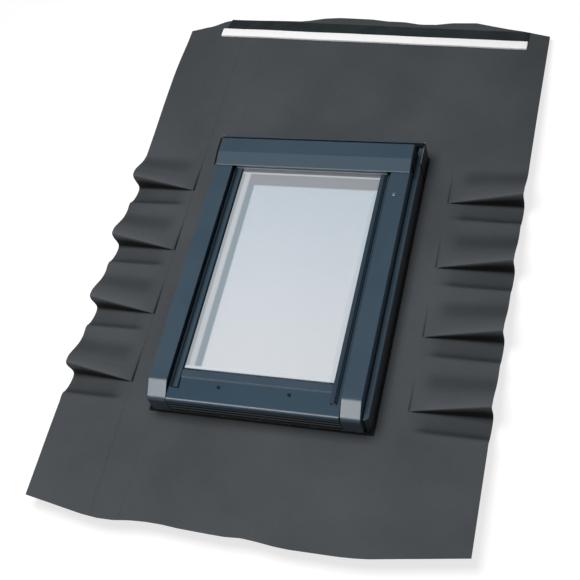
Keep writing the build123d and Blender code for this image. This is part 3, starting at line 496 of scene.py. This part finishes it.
def wing(name, side, edge_x, crease_depth):
    """One pleated wing, from the collar's foot to its free outer edge."""
    tip_x = wing_low.x + PLEAT_LAP
    length = edge_x - tip_x
    columns = [wing_low.x + PLEAT_LAP * share for share in LAP_SHARES]
    columns += spread(tip_x - CREASE_WIDTH, tip_x + CREASE_WIDTH, CREASE_COLUMNS)
    columns += spread(tip_x + CREASE_WIDTH, edge_x, WING_COLUMNS)[1:]
    columns = [(x, max(0.0, (x - tip_x) / length)) for x in columns]
    rows = pleat_rows()
    grid = []

    def crease(x, y):
        """How deep the sheet is creased here, beside the tip of a pleat."""
        near = max(0.0, 1 - abs(x - tip_x) / CREASE_WIDTH)
        deep = 0.0
        for number in range(PLEAT_COUNT):
            above = y - first_pleat_y + number * PLEAT_PITCH
            if -CREASE_START < above < CREASE_LENGTH:
                opening = ease((above + CREASE_START) / CREASE_START)
                deep = max(deep, opening * (1 - max(0.0, above) / CREASE_LENGTH))
        return crease_depth * ease(near) * deep

    def spot(x, y, lift, shade_and_wear):
        """A point of the sheet with its painted light and shade, mirrored to the wing's side."""
        fold = crease(x, y)
        # The crease is painted darker as shade, in step with its depth.
        return side * x, y, skirt_level(side * x, y) + lift - fold, shade_and_wear - CREASE_SHADE * fold

    flat_y, edge_y, rise = rows[0][:3]
    for share in spread(0.0, 1.0, TOP_ROWS)[:-1]:
        line = []
        for x, growth in columns:
            top = skirt_top + wave(TOP_EDGE, side * x)
            y = top + (flat_y + (edge_y - flat_y) * growth - top) * share
            line.append(spot(x, y, rise * growth * ease(2 * share - 1), 0.0))
        grid.append(line)
    for flat_y, edge_y, rise, shade_and_wear in rows:
        reach = PAINT_REACH + SHADE_REACH * ease((-shade_and_wear - 0.5) / 0.4)
        line = []
        for x, growth in columns:
            y = flat_y + (edge_y - flat_y) * growth
            line.append(spot(x, y, rise * growth, shade_and_wear * min(1.0, reach * growth)))
        grid.append(line)
    flat_y, edge_y, rise = rows[-1][:3]
    for share in spread(0.0, 1.0, BOTTOM_ROWS)[1:]:
        line = []
        for x, growth in columns:
            bottom = skirt_bottom + wave(BOTTOM_EDGE, side * x)
            last = flat_y + (edge_y - flat_y) * growth
            line.append(spot(x, last + (bottom - last) * share, rise * growth * (1 - share), 0.0))
        grid.append(line)
    if side < 0:
        grid = [list(reversed(line)) for line in grid]
    return sheet_mesh(name, grid)


def apron(name, rows, skip=None):
    """A plain part of the skirt above or below the hatch, from rows of x and y."""
    return sheet_mesh(name, [[(x, y, skirt_level(x, y), 0.0) for x, y in row] for row in rows], skip)


skirt_coat, start, shader = new_finish("skirt_membrane", Specular_IOR_Level=0.18)
place = start.add("TexCoord", output="Object")
across = start.add("SeparateXYZ", None, {"Vector": place}, "X")
along = across.sibling("Y")
turn = 2 * math.pi / WEAVE_PERIOD / math.sqrt(2)
weft = (across + along) * turn
warp = (across - along) * turn
cloud = mottle(start, place, 5.0, 4.0)
dust = mottle(start, place, 300.0, 2.0)
weft = weft + 4.0 * mottle(start, place, 90.0, 2.0)
strands = 0.30 + 0.20 * warp.math("SINE", warp)
weave = 0.5 + weft.math("SINE", weft) * strands * ramp(cloud, 0.3, 0.7, 0.3, 1.0)
tint = 0.14 * weave + 0.62 * cloud + 0.24 * dust
seam_gap = across + SEAM_OUT
seam = short_of(seam_gap.math("ABSOLUTE", seam_gap), SEAM_HALF, 0.0005)
stitch_gap = across + STITCH_OUT
stitch_wave = along * (2 * math.pi / STITCH_PERIOD)
stitch = short_of(stitch_gap.math("ABSOLUTE", stitch_gap), STITCH_HALF, 0.00045)
stitch = stitch * past(stitch_wave.math("SINE", stitch_wave), 0.0, 0.2)
# A black line of painted contact shadow along the collar's foot.
from_side = across.math("ABSOLUTE", across) - wing_low.x
from_front = apron_edge - CONTACT_SHADE_WIDTH - along
from_foot = from_side.math("MAXIMUM", from_side, from_side.math("MAXIMUM", from_front, along - foot_back))
contact_shade = ramp(from_foot, 0.6 * CONTACT_SHADE_WIDTH, CONTACT_SHADE_WIDTH, 1.0, 0.0)
# The mesh's painted light and shade: highlight on crests, shade in folds and creases.
shade_and_wear = start.add("Attribute", {"attribute_name": "shade_and_wear"}, output="Fac")
colour = between(ramp(tint, 0.25, 0.75), MEMBRANE_DARK, MEMBRANE_LIGHT)
colour = between(0.35 * seam + 0.6 * stitch, colour, SEAM_SHADE)
colour = between(ramp(shade_and_wear, 0.0, 1.0), colour, CREST_HIGHLIGHT)
fold_shade = ramp(shade_and_wear, -1.0, 0.0, 0.95, 0.0)
between(fold_shade.math("MAXIMUM", fold_shade, contact_shade), colour, PAINTED_SHADE_BLACK).feed(shader, "Base Color")
(0.60 + 0.12 * cloud - 0.08 * weave + 0.3 * fold_shade).feed(shader, "Roughness")
emboss(0.30 * weave + 0.1 * dust - 0.3 * seam - 0.2 * stitch, shader, 0.0006)

top_columns = [(x, skirt_top + wave(TOP_EDGE, x)) for x in spread(-wing_low.x, wing_low.x, APRON_COLUMNS)]
top_rows = []
for share in spread(0.0, 1.0, APRON_ROWS):
    top_rows.append([(x, top + (foot_back - top) * share) for x, top in top_columns])
inner_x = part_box("frame_stile_right")[1].x + STILE_GAP
tab_columns = [-wing_low.x, *spread(-inner_x, inner_x, TAB_COLUMNS), wing_low.x]
tab_columns = [(x, skirt_bottom + wave(BOTTOM_EDGE, x)) for x in tab_columns]
tab_rows = [[(x, apron_high.y) for x, bottom in tab_columns]]
for share in spread(0.0, 1.0, BOTTOM_ROWS):
    tab_rows.append([(x, apron_edge + (bottom - apron_edge) * share) for x, bottom in tab_columns])


def between_tabs(row, column):
    """Whether a cell of the bottom apron lies in the gap between its two side tabs."""
    return row == 0 and 0 < column < len(tab_columns) - 2


skirt = {
    "skirt_wing_left": wing("membrane_wing_left", -1, -left_edge, LEFT_CREASE),
    "skirt_wing_right": wing("membrane_wing_right", 1, wing_high.x, RIGHT_CREASE),
    "skirt_apron_top": apron("membrane_apron_top", top_rows),
    "skirt_apron_bottom": apron("membrane_apron_bottom", tab_rows, between_tabs),
}
for node, piece in skirt.items():
    piece.data.materials.append(skirt_coat)
    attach(piece, "frame")
    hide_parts(node)

# Foam strip: a bar of white closed-cell foam glued on near the top edge of the skirt, which
# keeps driven rain and snow from under the tiles. It is cut square and its edges are soft.
FOAM_WHITE = (0.90, 0.90, 0.90, 1)
FOAM_SHADE = (0.86, 0.86, 0.86, 1)
FOAM_WIDTH = 0.026
FOAM_HEIGHT = 0.007
FOAM_ROUND = 0.0026
FOAM_SETTLE = 0.0004
FOAM_WAVER = 0.0004
FOAM_SWELL = 0.0005
ROUND_STEPS = 6

foam_low, foam_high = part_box("foam_strip")
foam_left = Vector((foam_low.x, foam_high.y - FOAM_WIDTH / 2, 0))
foam_right = Vector((foam_high.x, foam_low.y + FOAM_WIDTH / 2, 0))
foam_run = (foam_right - foam_left).normalized()
foam_side = Vector((-foam_run.y, foam_run.x, 0))


def strip_mesh(name, rings):
    """A closed bar through rings of points, capped at both ends."""
    count = len(rings[0])
    points = [point for ring in rings for point in ring]
    faces = []
    for number in range(len(rings) - 1):
        base = number * count
        for corner in range(count):
            following = (corner + 1) % count
            faces.append((base + corner, base + following, base + count + following, base + count + corner))
    faces.append(tuple(reversed(range(count))))
    faces.append(tuple(range(len(points) - count, len(points))))
    mesh = bpy.data.meshes.new(name)
    mesh.from_pydata(points, [], faces)
    mesh.polygons.foreach_set("use_smooth", [True] * len(mesh.polygons))
    piece = bpy.data.objects.new(name, mesh)
    bpy.context.collection.objects.link(piece)
    return piece


def foam_ring(share, inset):
    """The foam's section at a share of its length, drawn in by inset where its ends are rounded."""
    length = (foam_right - foam_left).length
    centre = foam_left + foam_run * length * share
    half = FOAM_WIDTH / 2 - inset + FOAM_WAVER * noise.noise(Vector((9 * share, 1.7, 0)))
    tall = FOAM_HEIGHT - inset + FOAM_SWELL * noise.noise(Vector((11 * share, 0, 4.1)))
    ring = []
    for corner, (side, level) in enumerate(((1, 0), (1, 1), (-1, 1), (-1, 0))):
        radius = FOAM_ROUND if level else FOAM_ROUND / 3
        for angle in spread((corner - 1) * math.pi / 2, corner * math.pi / 2, ROUND_STEPS):
            offset = side * (half - radius) + radius * math.cos(angle)
            height = level * (tall - 2 * radius) + radius + radius * math.sin(angle)
            spot = centre + foam_side * offset
            ring.append(Vector((spot.x, spot.y, skirt_level(spot.x, spot.y) + FOAM_SETTLE + height)))
    return ring


# The rounded ends: share of the length, and how far the section is drawn in there.
foam_ends = ((0.0, 0.0022), (0.0006, 0.0010), (0.0014, 0.0003), (0.003, 0.0))
foam_rings = [foam_ring(share, inset) for share, inset in foam_ends]
foam_rings += [foam_ring(share, 0) for share in spread(0.01, 0.99, 90)]
foam_rings += [foam_ring(1 - share, inset) for share, inset in reversed(foam_ends)]
foam = strip_mesh("foam_bar", foam_rings)

foam_coat, start, shader = new_finish("white_foam", Specular_IOR_Level=0.25)
place = start.add("TexCoord", output="Object")
cells = start.add("TexVoronoi", None, {"Vector": place, "Scale": 700.0}, "Distance")
cloud = mottle(start, place, 60.0, 3.0)
between(ramp(0.6 * cloud + 0.4 * cells, 0.35, 0.75), FOAM_WHITE, FOAM_SHADE).feed(shader, "Base Color")
(0.80 + 0.15 * cells).feed(shader, "Roughness")
emboss(cells, shader, 0.0001)
foam.data.materials.append(foam_coat)
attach(foam, "frame")
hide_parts("foam_strip")

# Edge tape: a strip of dark slate butyl tape rolled down between the foam and the top edge of
# the skirt, a little uneven along its edges, with a smooth skin that catches some light.
TAPE_DARK = (0.010, 0.015, 0.018, 1)
TAPE_PALE = (0.017, 0.023, 0.027, 1)
TAPE_WIDTH = 0.0375
TAPE_THICK = 0.001
TAPE_LIFT = 0.0003
TAPE_START = 0.007
TAPE_SLANT = 0.008
SLANT_PARTS = 8
TAPE_GAP = 0.0004
TAPE_WAVER = 0.0008
TAPE_LEVEL_X = -0.37

tape_rings = []
for share in spread(0.0, 1.0, 90):
    centre = foam_left + (foam_right - foam_left) * share
    ring = []
    inner_edge = FOAM_WIDTH / 2 + TAPE_GAP
    outer_edge = inner_edge + TAPE_WIDTH + TAPE_WAVER * noise.noise(Vector((14 * share, 2.2, 0)))
    for level in (1, 0):
        offsets = spread(inner_edge, outer_edge, 8)
        for offset in offsets if level else reversed(offsets):
            slant = TAPE_START + TAPE_SLANT * (offset - inner_edge) / TAPE_WIDTH
            spot = centre + foam_side * offset + foam_run * slant * max(0.0, 1 - SLANT_PARTS * share)
            flat = skirt_level(max(spot.x, TAPE_LEVEL_X), spot.y)
            ring.append(Vector((spot.x, spot.y, flat + TAPE_LIFT + level * TAPE_THICK)))
    tape_rings.append(list(reversed(ring)))
tape = strip_mesh("butyl_tape", tape_rings)

tape_coat, start, shader = new_finish("butyl_tape_skin", Specular_IOR_Level=0.4)
place = start.add("TexCoord", output="Object")
roll = mottle(start, place, 24.0, 4.0)
grit = mottle(start, place, 420.0, 2.0)
between(ramp(roll, 0.3, 0.7), TAPE_DARK, TAPE_PALE).feed(shader, "Base Color")
(0.42 + 0.2 * roll).feed(shader, "Roughness")
emboss(0.7 * roll + 0.3 * grit, shader, 0.0008)
tape.data.materials.append(tape_coat)
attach(tape, "frame")
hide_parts("edge_tape")

# Side covers: aluminium sheet folded over the stiles and snapped on to their clips. Their inner
# legs stand in a narrow gap beside the sash, and are painted near black there as shade.
LEG_THICK = 0.0016
LEG_DROP = 0.0050
LEG_FADE = 0.0025

cover_coat, shader, colour, sideways = slate_coat("cover_coat")
cover_inner, cover_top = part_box("side_cover_right")[0].x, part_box("side_cover_right")[1].z
# Inner legs painted near black as shade in the gap.
leg_shade = 0.9 * short_of(sideways.math("ABSOLUTE", sideways) - cover_inner, LEG_THICK, 0.0004)
leg_shade = leg_shade * ramp(sideways.sibling("Z") - cover_top, -LEG_DROP, -LEG_FADE, 1.0, 0.0)
between(leg_shade, colour, SLATE_SHADE_DARK).feed(shader, "Base Color")
dress(cover_coat, "side_cover_left", "side_cover_right")

# Double glazing: two sheets of float glass with a white spacer bar between them. The outer one has
# a painted reflection of pale sky, bluer and more opaque towards the top, and painted borders over
# the sash bars that stand in for the bars seen through it: their lit white tops, their shaded
# blue-grey reveals, a bright line along the bottom, dark lines beside the glazing rubber and along
# the bottom, and painted shadow under the hood.
# Painted reflection of pale sky, bluer towards the top.
SKY_REFLECTION_TOP = (0.49, 0.56, 0.63, 1)
SKY_REFLECTION_LOW = (0.61, 0.64, 0.68, 1)
# Painted borders: lit white bar tops, shaded blue-grey reveals, a bright line, dark lines and shadow under
# the hood.
BORDER_SHADED_BLUE = (0.270, 0.325, 0.365, 1)
BORDER_LIT_WHITE = (0.500, 0.535, 0.565, 1)
BORDER_SHADE = (0.350, 0.385, 0.405, 1)
BORDER_SHADED_GREY = (0.300, 0.320, 0.345, 1)
BORDER_NAVY = (0.010, 0.018, 0.027, 1)
BORDER_BRIGHT = (0.575, 0.620, 0.670, 1)
BORDER_SHADOW = (0.150, 0.155, 0.170, 1)
BORDER_COVER = 0.78
COVER_RIGHT = 0.160
REVEAL_LEFT = 0.1325
BAR_LEFT = 0.1480
SHADE_LEFT = 0.1615
RUBBER_LEFT = 0.1692
REVEAL_TOP = 0.2105
BAR_TOP = 0.2425
DARK_TOP = 0.2472
BRIGHT_RISE = 0.0285
NAVY_RISE = 0.0215
BORDER_BLEND = 0.0010
INNER_TINT = (0.80, 0.84, 0.84, 1)
SPACER_GREY = (0.84, 0.84, 0.83, 1)
SPACER_SHADE = (0.78, 0.78, 0.78, 1)

pane_low, pane_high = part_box("pane_outer")
outer_glass, start, shader = new_finish("coated_glass", IOR=1.45)
place = start.add("TexCoord", output="Object")
sideways = start.add("SeparateXYZ", None, {"Vector": place}, "X")
height = sideways.sibling("Y")
haze = mottle(start, place, 6.0, 2.0)
rise = ramp(height + 0.05 * haze, pane_low.y, pane_high.y)
colour = between(rise, SKY_REFLECTION_LOW, SKY_REFLECTION_TOP)
cover = 0.52 + 0.10 * rise
cover = cover + (BORDER_COVER - cover) * past(sideways, COVER_RIGHT, 0.002)
leftwards = -1 * sideways
downwards = -1 * height

# Each border: the way out over it, where it starts along that way, its blend and its tint.
borders = (
    (leftwards, REVEAL_LEFT, BORDER_BLEND, BORDER_SHADED_BLUE),
    (height, REVEAL_TOP, BORDER_BLEND, BORDER_SHADED_GREY),
    (leftwards, BAR_LEFT, 3 * BORDER_BLEND, BORDER_LIT_WHITE),
    (leftwards, SHADE_LEFT, BORDER_BLEND, BORDER_SHADE),
    (height, BAR_TOP, BORDER_BLEND, BORDER_LIT_WHITE),
    (height, DARK_TOP, BORDER_BLEND, BORDER_SHADOW),
    (downwards, -pane_low.y - BRIGHT_RISE, BORDER_BLEND, BORDER_BRIGHT),
    (downwards, -pane_low.y - NAVY_RISE, BORDER_BLEND, BORDER_NAVY),
    (leftwards, RUBBER_LEFT, 0.5 * BORDER_BLEND, BORDER_NAVY),
)
# Each border is painted over the glass in place of lit or shaded sash bars seen through it.
for out_way, edge, blend, tint in borders:
    inside = past(out_way, edge, blend)
    colour = between(inside, colour, tint)
    cover = cover + (BORDER_COVER - cover) * inside
colour.feed(shader, "Base Color")
cover.feed(shader, "Alpha")
(0.03 + 0.03 * haze).feed(shader, "Roughness")
dress(outer_glass, "pane_outer")

inner_glass, start, shader = new_finish("clear_glass", IOR=1.45)
place = start.add("TexCoord", output="Object")
haze = mottle(start, place, 9.0, 2.0)
# Its haze drifts towards the pale tone of the outer pane's painted sky reflection.
between(haze, INNER_TINT, SKY_REFLECTION_LOW).feed(shader, "Base Color")
(0.08 + 0.04 * haze).feed(shader, "Alpha")
(0.03 + 0.02 * haze).feed(shader, "Roughness")
dress(inner_glass, "pane_inner")

spacer_coat, start, shader = new_finish("spacer_bar", Metallic=0.3)
place = start.add("TexCoord", output="Object")
pore = mottle(start, place, 800.0, 2.0)
between(pore, SPACER_GREY, SPACER_SHADE).feed(shader, "Base Color")
(0.40 + 0.15 * pore).feed(shader, "Roughness")
emboss(pore, shader, 0.0001)
dress(spacer_coat, "glass_spacer")

# Glazing strips: angles that grip the glass, with a lower ledge on their outer side. They carry
# painted shade: on the right a dark line just inside the step over a light darkening of the whole
# strip; on the left the cover's painted shadow over the ledge, darkest at its foot, the raised part
# darkening towards the step, and a dark line along the glass.
LEDGE_WIDTH = 0.009
LINE_SETBACK = 0.0032
LINE_WIDTH = 0.0030
FOOT_WIDTH = 0.0050
SLOPE_WIDTH = 0.0080
GLASS_LINE = 0.00225
# How dark the painted shade is over the whole right strip, and over the left ledge past its foot.
STRIP_SHADE = 0.22
LEDGE_SHADE = 0.60

strip_coat, shader, colour, sideways = slate_coat("strip_coat", gloss=0.2)
strip_low, strip_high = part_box("sash_strip_right")
step_x = strip_high.x - LEDGE_WIDTH
from_step = sideways.math("ABSOLUTE", sideways) - step_x
line = from_step + LINE_SETBACK
# Painted shade on the strips.
right = ramp(line.math("ABSOLUTE", line), 0.5 * LINE_WIDTH, LINE_WIDTH, 0.95, STRIP_SHADE)
on_ledge = past(from_step, 0.00015, 0.00015)
foot = on_ledge * ramp(from_step, FOOT_WIDTH - 0.0008, FOOT_WIDTH + 0.0008, 1.0, LEDGE_SHADE)
slope = (1 - on_ledge) * ramp(from_step, -SLOPE_WIDTH, 0.0, 0.0, 0.75)
by_glass = 0.8 * short_of(from_step + (step_x - strip_low.x), GLASS_LINE, 0.00075)
left = foot.math("MAXIMUM", by_glass, foot.math("MAXIMUM", foot, slope))
between(left + (right - left) * past(sideways, 0.0, 0.01), colour, SLATE_SHADE_DARK).feed(shader, "Base Color")
dress(strip_coat, "sash_strip_left", "sash_strip_right")

# Nose: the extruded bottom profile of the sash, screwed on over the glass. Its front has three
# grooves, painted dark as shade between ribs painted pale as light, and the step from its lip to
# its deck carries a painted highlight.
NOSE_DECK = (0.017, 0.041, 0.065, 1)
NOSE_STEP_HIGHLIGHT = (0.095, 0.118, 0.142, 1)
NOSE_RIB_LIGHT = (0.125, 0.150, 0.162, 1)
NOSE_LIP = 0.018
RIB_PITCH = 0.012
RIB_RISE = 0.0155
RIBS_FOOT = 0.007
RIBS_TOP = 0.039

nose_coat, shader, colour, sideways = slate_coat("nose_coat", None)
nose_low, nose_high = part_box("sash_nose")
height = sideways.sibling("Z") - nose_low.z
from_lip = sideways.sibling("Y") - (nose_high.y - NOSE_LIP)
colour = between(0.9 * short_of(from_lip, -0.0006, 0.0004), colour, NOSE_DECK)
# A painted highlight along the step from the lip to the deck.
colour = between(0.9 * short_of(from_lip.math("ABSOLUTE", from_lip), 0.0012, 0.0004), colour, NOSE_STEP_HIGHLIGHT)
# The front's grooves painted dark as shade and its ribs painted pale as light.
turn = (height - RIB_RISE) * (2 * math.pi / RIB_PITCH)
crest = ramp(turn.math("COSINE", turn), 0.1, 0.8) * past(height, RIBS_FOOT, 0.001)
rib_light_and_shade = between(crest, SLATE_SHADE_DARK, NOSE_RIB_LIGHT)
between(past(height, RIBS_TOP, 0.003), rib_light_and_shade, colour).feed(shader, "Base Color")
dress(nose_coat, "sash_nose")

# Screws of the nose: pan heads lacquered to match the blue sheet, the lacquer rubbed thin in
# places by the driver.
SCREW_LACQUER = (0.006, 0.009, 0.012, 1)
SCREW_RUBBED = (0.022, 0.027, 0.032, 1)

screw_coat, start, shader = new_finish("lacquered_screw", Specular_IOR_Level=0.3)
place = start.add("TexCoord", output="Object")
shade_and_wear = mottle(start, place, 420.0, 3.0)
between(ramp(shade_and_wear, 0.55, 0.75), SCREW_LACQUER, SCREW_RUBBED).feed(shader, "Base Color")
(0.30 + 0.2 * shade_and_wear).feed(shader, "Roughness")
emboss(shade_and_wear, shader, 0.0001, 0.0004)
dress(screw_coat, "nose_screws")

# Hood: a creased sheet on posts over the top rail. Its front slope is painted lighter as light
# falling on it, its front lip has a painted highlight at the top and a pale grey seal along its
# foot, and a dark line is painted along its left end as shade of the gap at its end cap.
# Lighter blue painted on the front slope as light falling on it.
SLOPE_LIGHT_BLUE = (0.048, 0.073, 0.097, 1)
# Painted highlight at the top of the front lip.
HOOD_LIP_HIGHLIGHT = (0.135, 0.180, 0.215, 1)
HOOD_SEAL = (0.540, 0.580, 0.630, 1)
HOOD_LIP_THICK = 0.0013
HOOD_SEAL_TOP = 0.00675
HOOD_HIGHLIGHT_START = 0.0121
# Width of the dark line painted along the left end as shade.
HOOD_END_SHADE = 0.0019

hood_coat, shader, colour, sideways = slate_coat("hood_coat")
facing = sideways.add("TexCoord", output="Normal")
lean = facing.add("SeparateXYZ", None, {"Vector": facing}, "Y")
above = sideways.sibling("Z") - glass_face
lip = short_of(sideways.sibling("Y") - hood_front, HOOD_LIP_THICK, 0.0003)
# Dark line painted along the left end as shade of the gap at the end cap.
end_shade = 0.95 * short_of(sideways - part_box("hood")[0].x, HOOD_END_SHADE, 0.0005)
# Painted light on the down-slope facing part.
colour = between(short_of(lean, -0.10, 0.05), colour, SLOPE_LIGHT_BLUE)
colour = between(end_shade, colour, SLATE_SHADE_DARK)
# Painted highlight along the top of the lip.
colour = between(lip * past(above, HOOD_HIGHLIGHT_START, 0.0005), colour, HOOD_LIP_HIGHLIGHT)
between(lip * short_of(above, HOOD_SEAL_TOP, 0.00125), colour, HOOD_SEAL).feed(shader, "Base Color")
dress(hood_coat, "hood")

# Cover clips, hood posts and hood end caps: black mouldings of filled nylon that the covers snap
# on to and that carry and close the hood, with the fine spark grain of their mould.
NYLON_BLACK = (0.005, 0.006, 0.007, 1)
NYLON_WORN = (0.010, 0.011, 0.012, 1)

nylon, start, shader = new_finish("black_nylon", Specular_IOR_Level=0.1)
place = start.add("TexCoord", output="Object")
spark = mottle(start, place, 1400.0, 2.0)
between(spark, NYLON_BLACK, NYLON_WORN).feed(shader, "Base Color")
(0.48 + 0.14 * spark).feed(shader, "Roughness")
emboss(spark, shader, 0.00015, 0.0005)
dress(nylon, "cover_clips", "hood_posts", "hood_caps")

# Handle and stay: a cast lever and its plate in satin silver lacquer, and a notched bar of mill
# aluminium, brushed along its length, that holds the sash open on the peg.
SILVER = (0.70, 0.70, 0.705, 1)
SILVER_SHADE = (0.60, 0.60, 0.61, 1)
MILL_LIGHT = (0.72, 0.73, 0.74, 1)
MILL_DARK = (0.58, 0.59, 0.60, 1)
BRUSH_ALONG = 12.0
BRUSH_ACROSS = 900.0

silver_coat, start, shader = new_finish("silver_lacquer", Metallic=0.6)
place = start.add("TexCoord", output="Object")
flake = mottle(start, place, 1600.0, 2.0)
cloud = mottle(start, place, 40.0, 2.0)
between(0.7 * flake + 0.3 * cloud, SILVER, SILVER_SHADE).feed(shader, "Base Color")
(0.32 + 0.12 * flake).feed(shader, "Roughness")
emboss(flake, shader, 0.00006, 0.0006)
dress(silver_coat, "handle_plate", "handle_lever")

mill_bar, start, shader = new_finish("mill_aluminium", Metallic=1.0)
place = start.add("TexCoord", output="Object")
stretch = (BRUSH_ACROSS, BRUSH_ALONG, BRUSH_ACROSS)
drawn = start.add("VectorMath", {"operation": "MULTIPLY"}, {0: place, 1: stretch})
brush = mottle(start, drawn, 1.0, 3.0)
between(brush, MILL_LIGHT, MILL_DARK).feed(shader, "Base Color")
(0.26 + 0.16 * brush).feed(shader, "Roughness")
emboss(brush, shader, 0.00008, 0.0005)
dress(mill_bar, "stay_bar")

# Studio: a wide pale floor that shows as white paper to the camera and keeps a soft shadow, a
# soft lamp overhead, an even fill, and a wide lamp in front that shows only in the gloss.
FLOOR_HALF = 50.0
FLOOR_DROP = 0.001
PAPER = (0.30, 0.30, 0.30, 1)
PAPER_BOUNCE = (0.75, 0.75, 0.75, 1)
PAPER_GLOW = 0.74
FILL = 0.24

floor_mesh = bpy.data.meshes.new("floor")
corners = [(x, y, -FLOOR_DROP) for x, y in ((-FLOOR_HALF, -FLOOR_HALF), (FLOOR_HALF, -FLOOR_HALF),
                                            (FLOOR_HALF, FLOOR_HALF), (-FLOOR_HALF, FLOOR_HALF))]
floor_mesh.from_pydata(corners, [], [(0, 1, 2, 3)])
floor = bpy.data.objects.new("floor", floor_mesh)
bpy.context.collection.objects.link(floor)
paper, start, shader = new_finish("studio_paper", Roughness=0.9, Specular_IOR_Level=0.0)
shader.inputs["Base Color"].default_value = PAPER
glow = start.add("Emission", None, {"Strength": PAPER_GLOW})
seen = start.add("AddShader", None, {0: Tone(start.tree, shader.outputs[0]), 1: glow})
bounce = start.add("BsdfDiffuse", None, {"Color": PAPER_BOUNCE})
ray = start.add("LightPath", output="Is Camera Ray")
looks = ray.math("MAXIMUM", ray.sibling("Is Glossy Ray"), ray.sibling("Is Transmission Ray"))
looks = ray.math("MAXIMUM", ray, looks)
surface = start.add("MixShader", None, {0: looks, 1: bounce, 2: seen})
surface.feed(start.tree.nodes["Material Output"], "Surface")
floor_mesh.materials.append(paper)


def soft_lamp(name, place, aim, wide, tall, power):
    """A flat area lamp that looks at a point."""
    lamp = bpy.data.objects.new(name, bpy.data.lights.new(name, "AREA"))
    lamp.data.shape = "RECTANGLE"
    lamp.data.size = wide
    lamp.data.size_y = tall
    lamp.data.energy = power
    lamp.location = place
    lamp.rotation_euler = (Vector(aim) - Vector(place)).to_track_quat("-Z", "Y").to_euler()
    bpy.context.collection.objects.link(lamp)
    return lamp


key_lamp = soft_lamp("key_lamp", place=(-0.30, -0.08, 2.4), aim=(0, 0, 0), wide=1.2, tall=1.2, power=60)
key_lamp.visible_glossy = False
gloss_lamp = soft_lamp("gloss_lamp", place=(-0.72, -1.72, 2.05), aim=(0, -0.30, 0.1),
                       wide=1.8, tall=1.0, power=63)
gloss_lamp.visible_diffuse = False

studio = bpy.data.worlds.new("studio")
bpy.context.scene.world = studio
studio.use_nodes = True
studio.node_tree.nodes["Background"].inputs["Color"].default_value = (FILL, FILL, FILL, 1)

# Camera: stands above the lower right corner of the hatch and looks down the slope's normal at a
# slant, as the picture of it was taken.
CAMERA_PLACE = (0.78530, -1.27506, 2.18752)
CAMERA_RIGHT = (0.94974138, 0.21981664, -0.22287205)
CAMERA_UP = (-0.07384972, 0.84920968, 0.52286627)
CAMERA_BACK = (0.30419981, -0.48012869, 0.82276298)
SENSOR_WIDTH = 36
LENS = 69.815

camera = bpy.data.objects.new("camera", bpy.data.cameras.new("camera"))
bpy.context.collection.objects.link(camera)
bpy.context.scene.camera = camera
turn = Matrix((CAMERA_RIGHT, CAMERA_UP, CAMERA_BACK)).transposed().to_4x4()
camera.matrix_world = Matrix.Translation(CAMERA_PLACE) @ turn
camera.data.sensor_width = SENSOR_WIDTH
camera.data.lens = LENS

bpy.context.scene.view_settings.view_transform = "Standard"
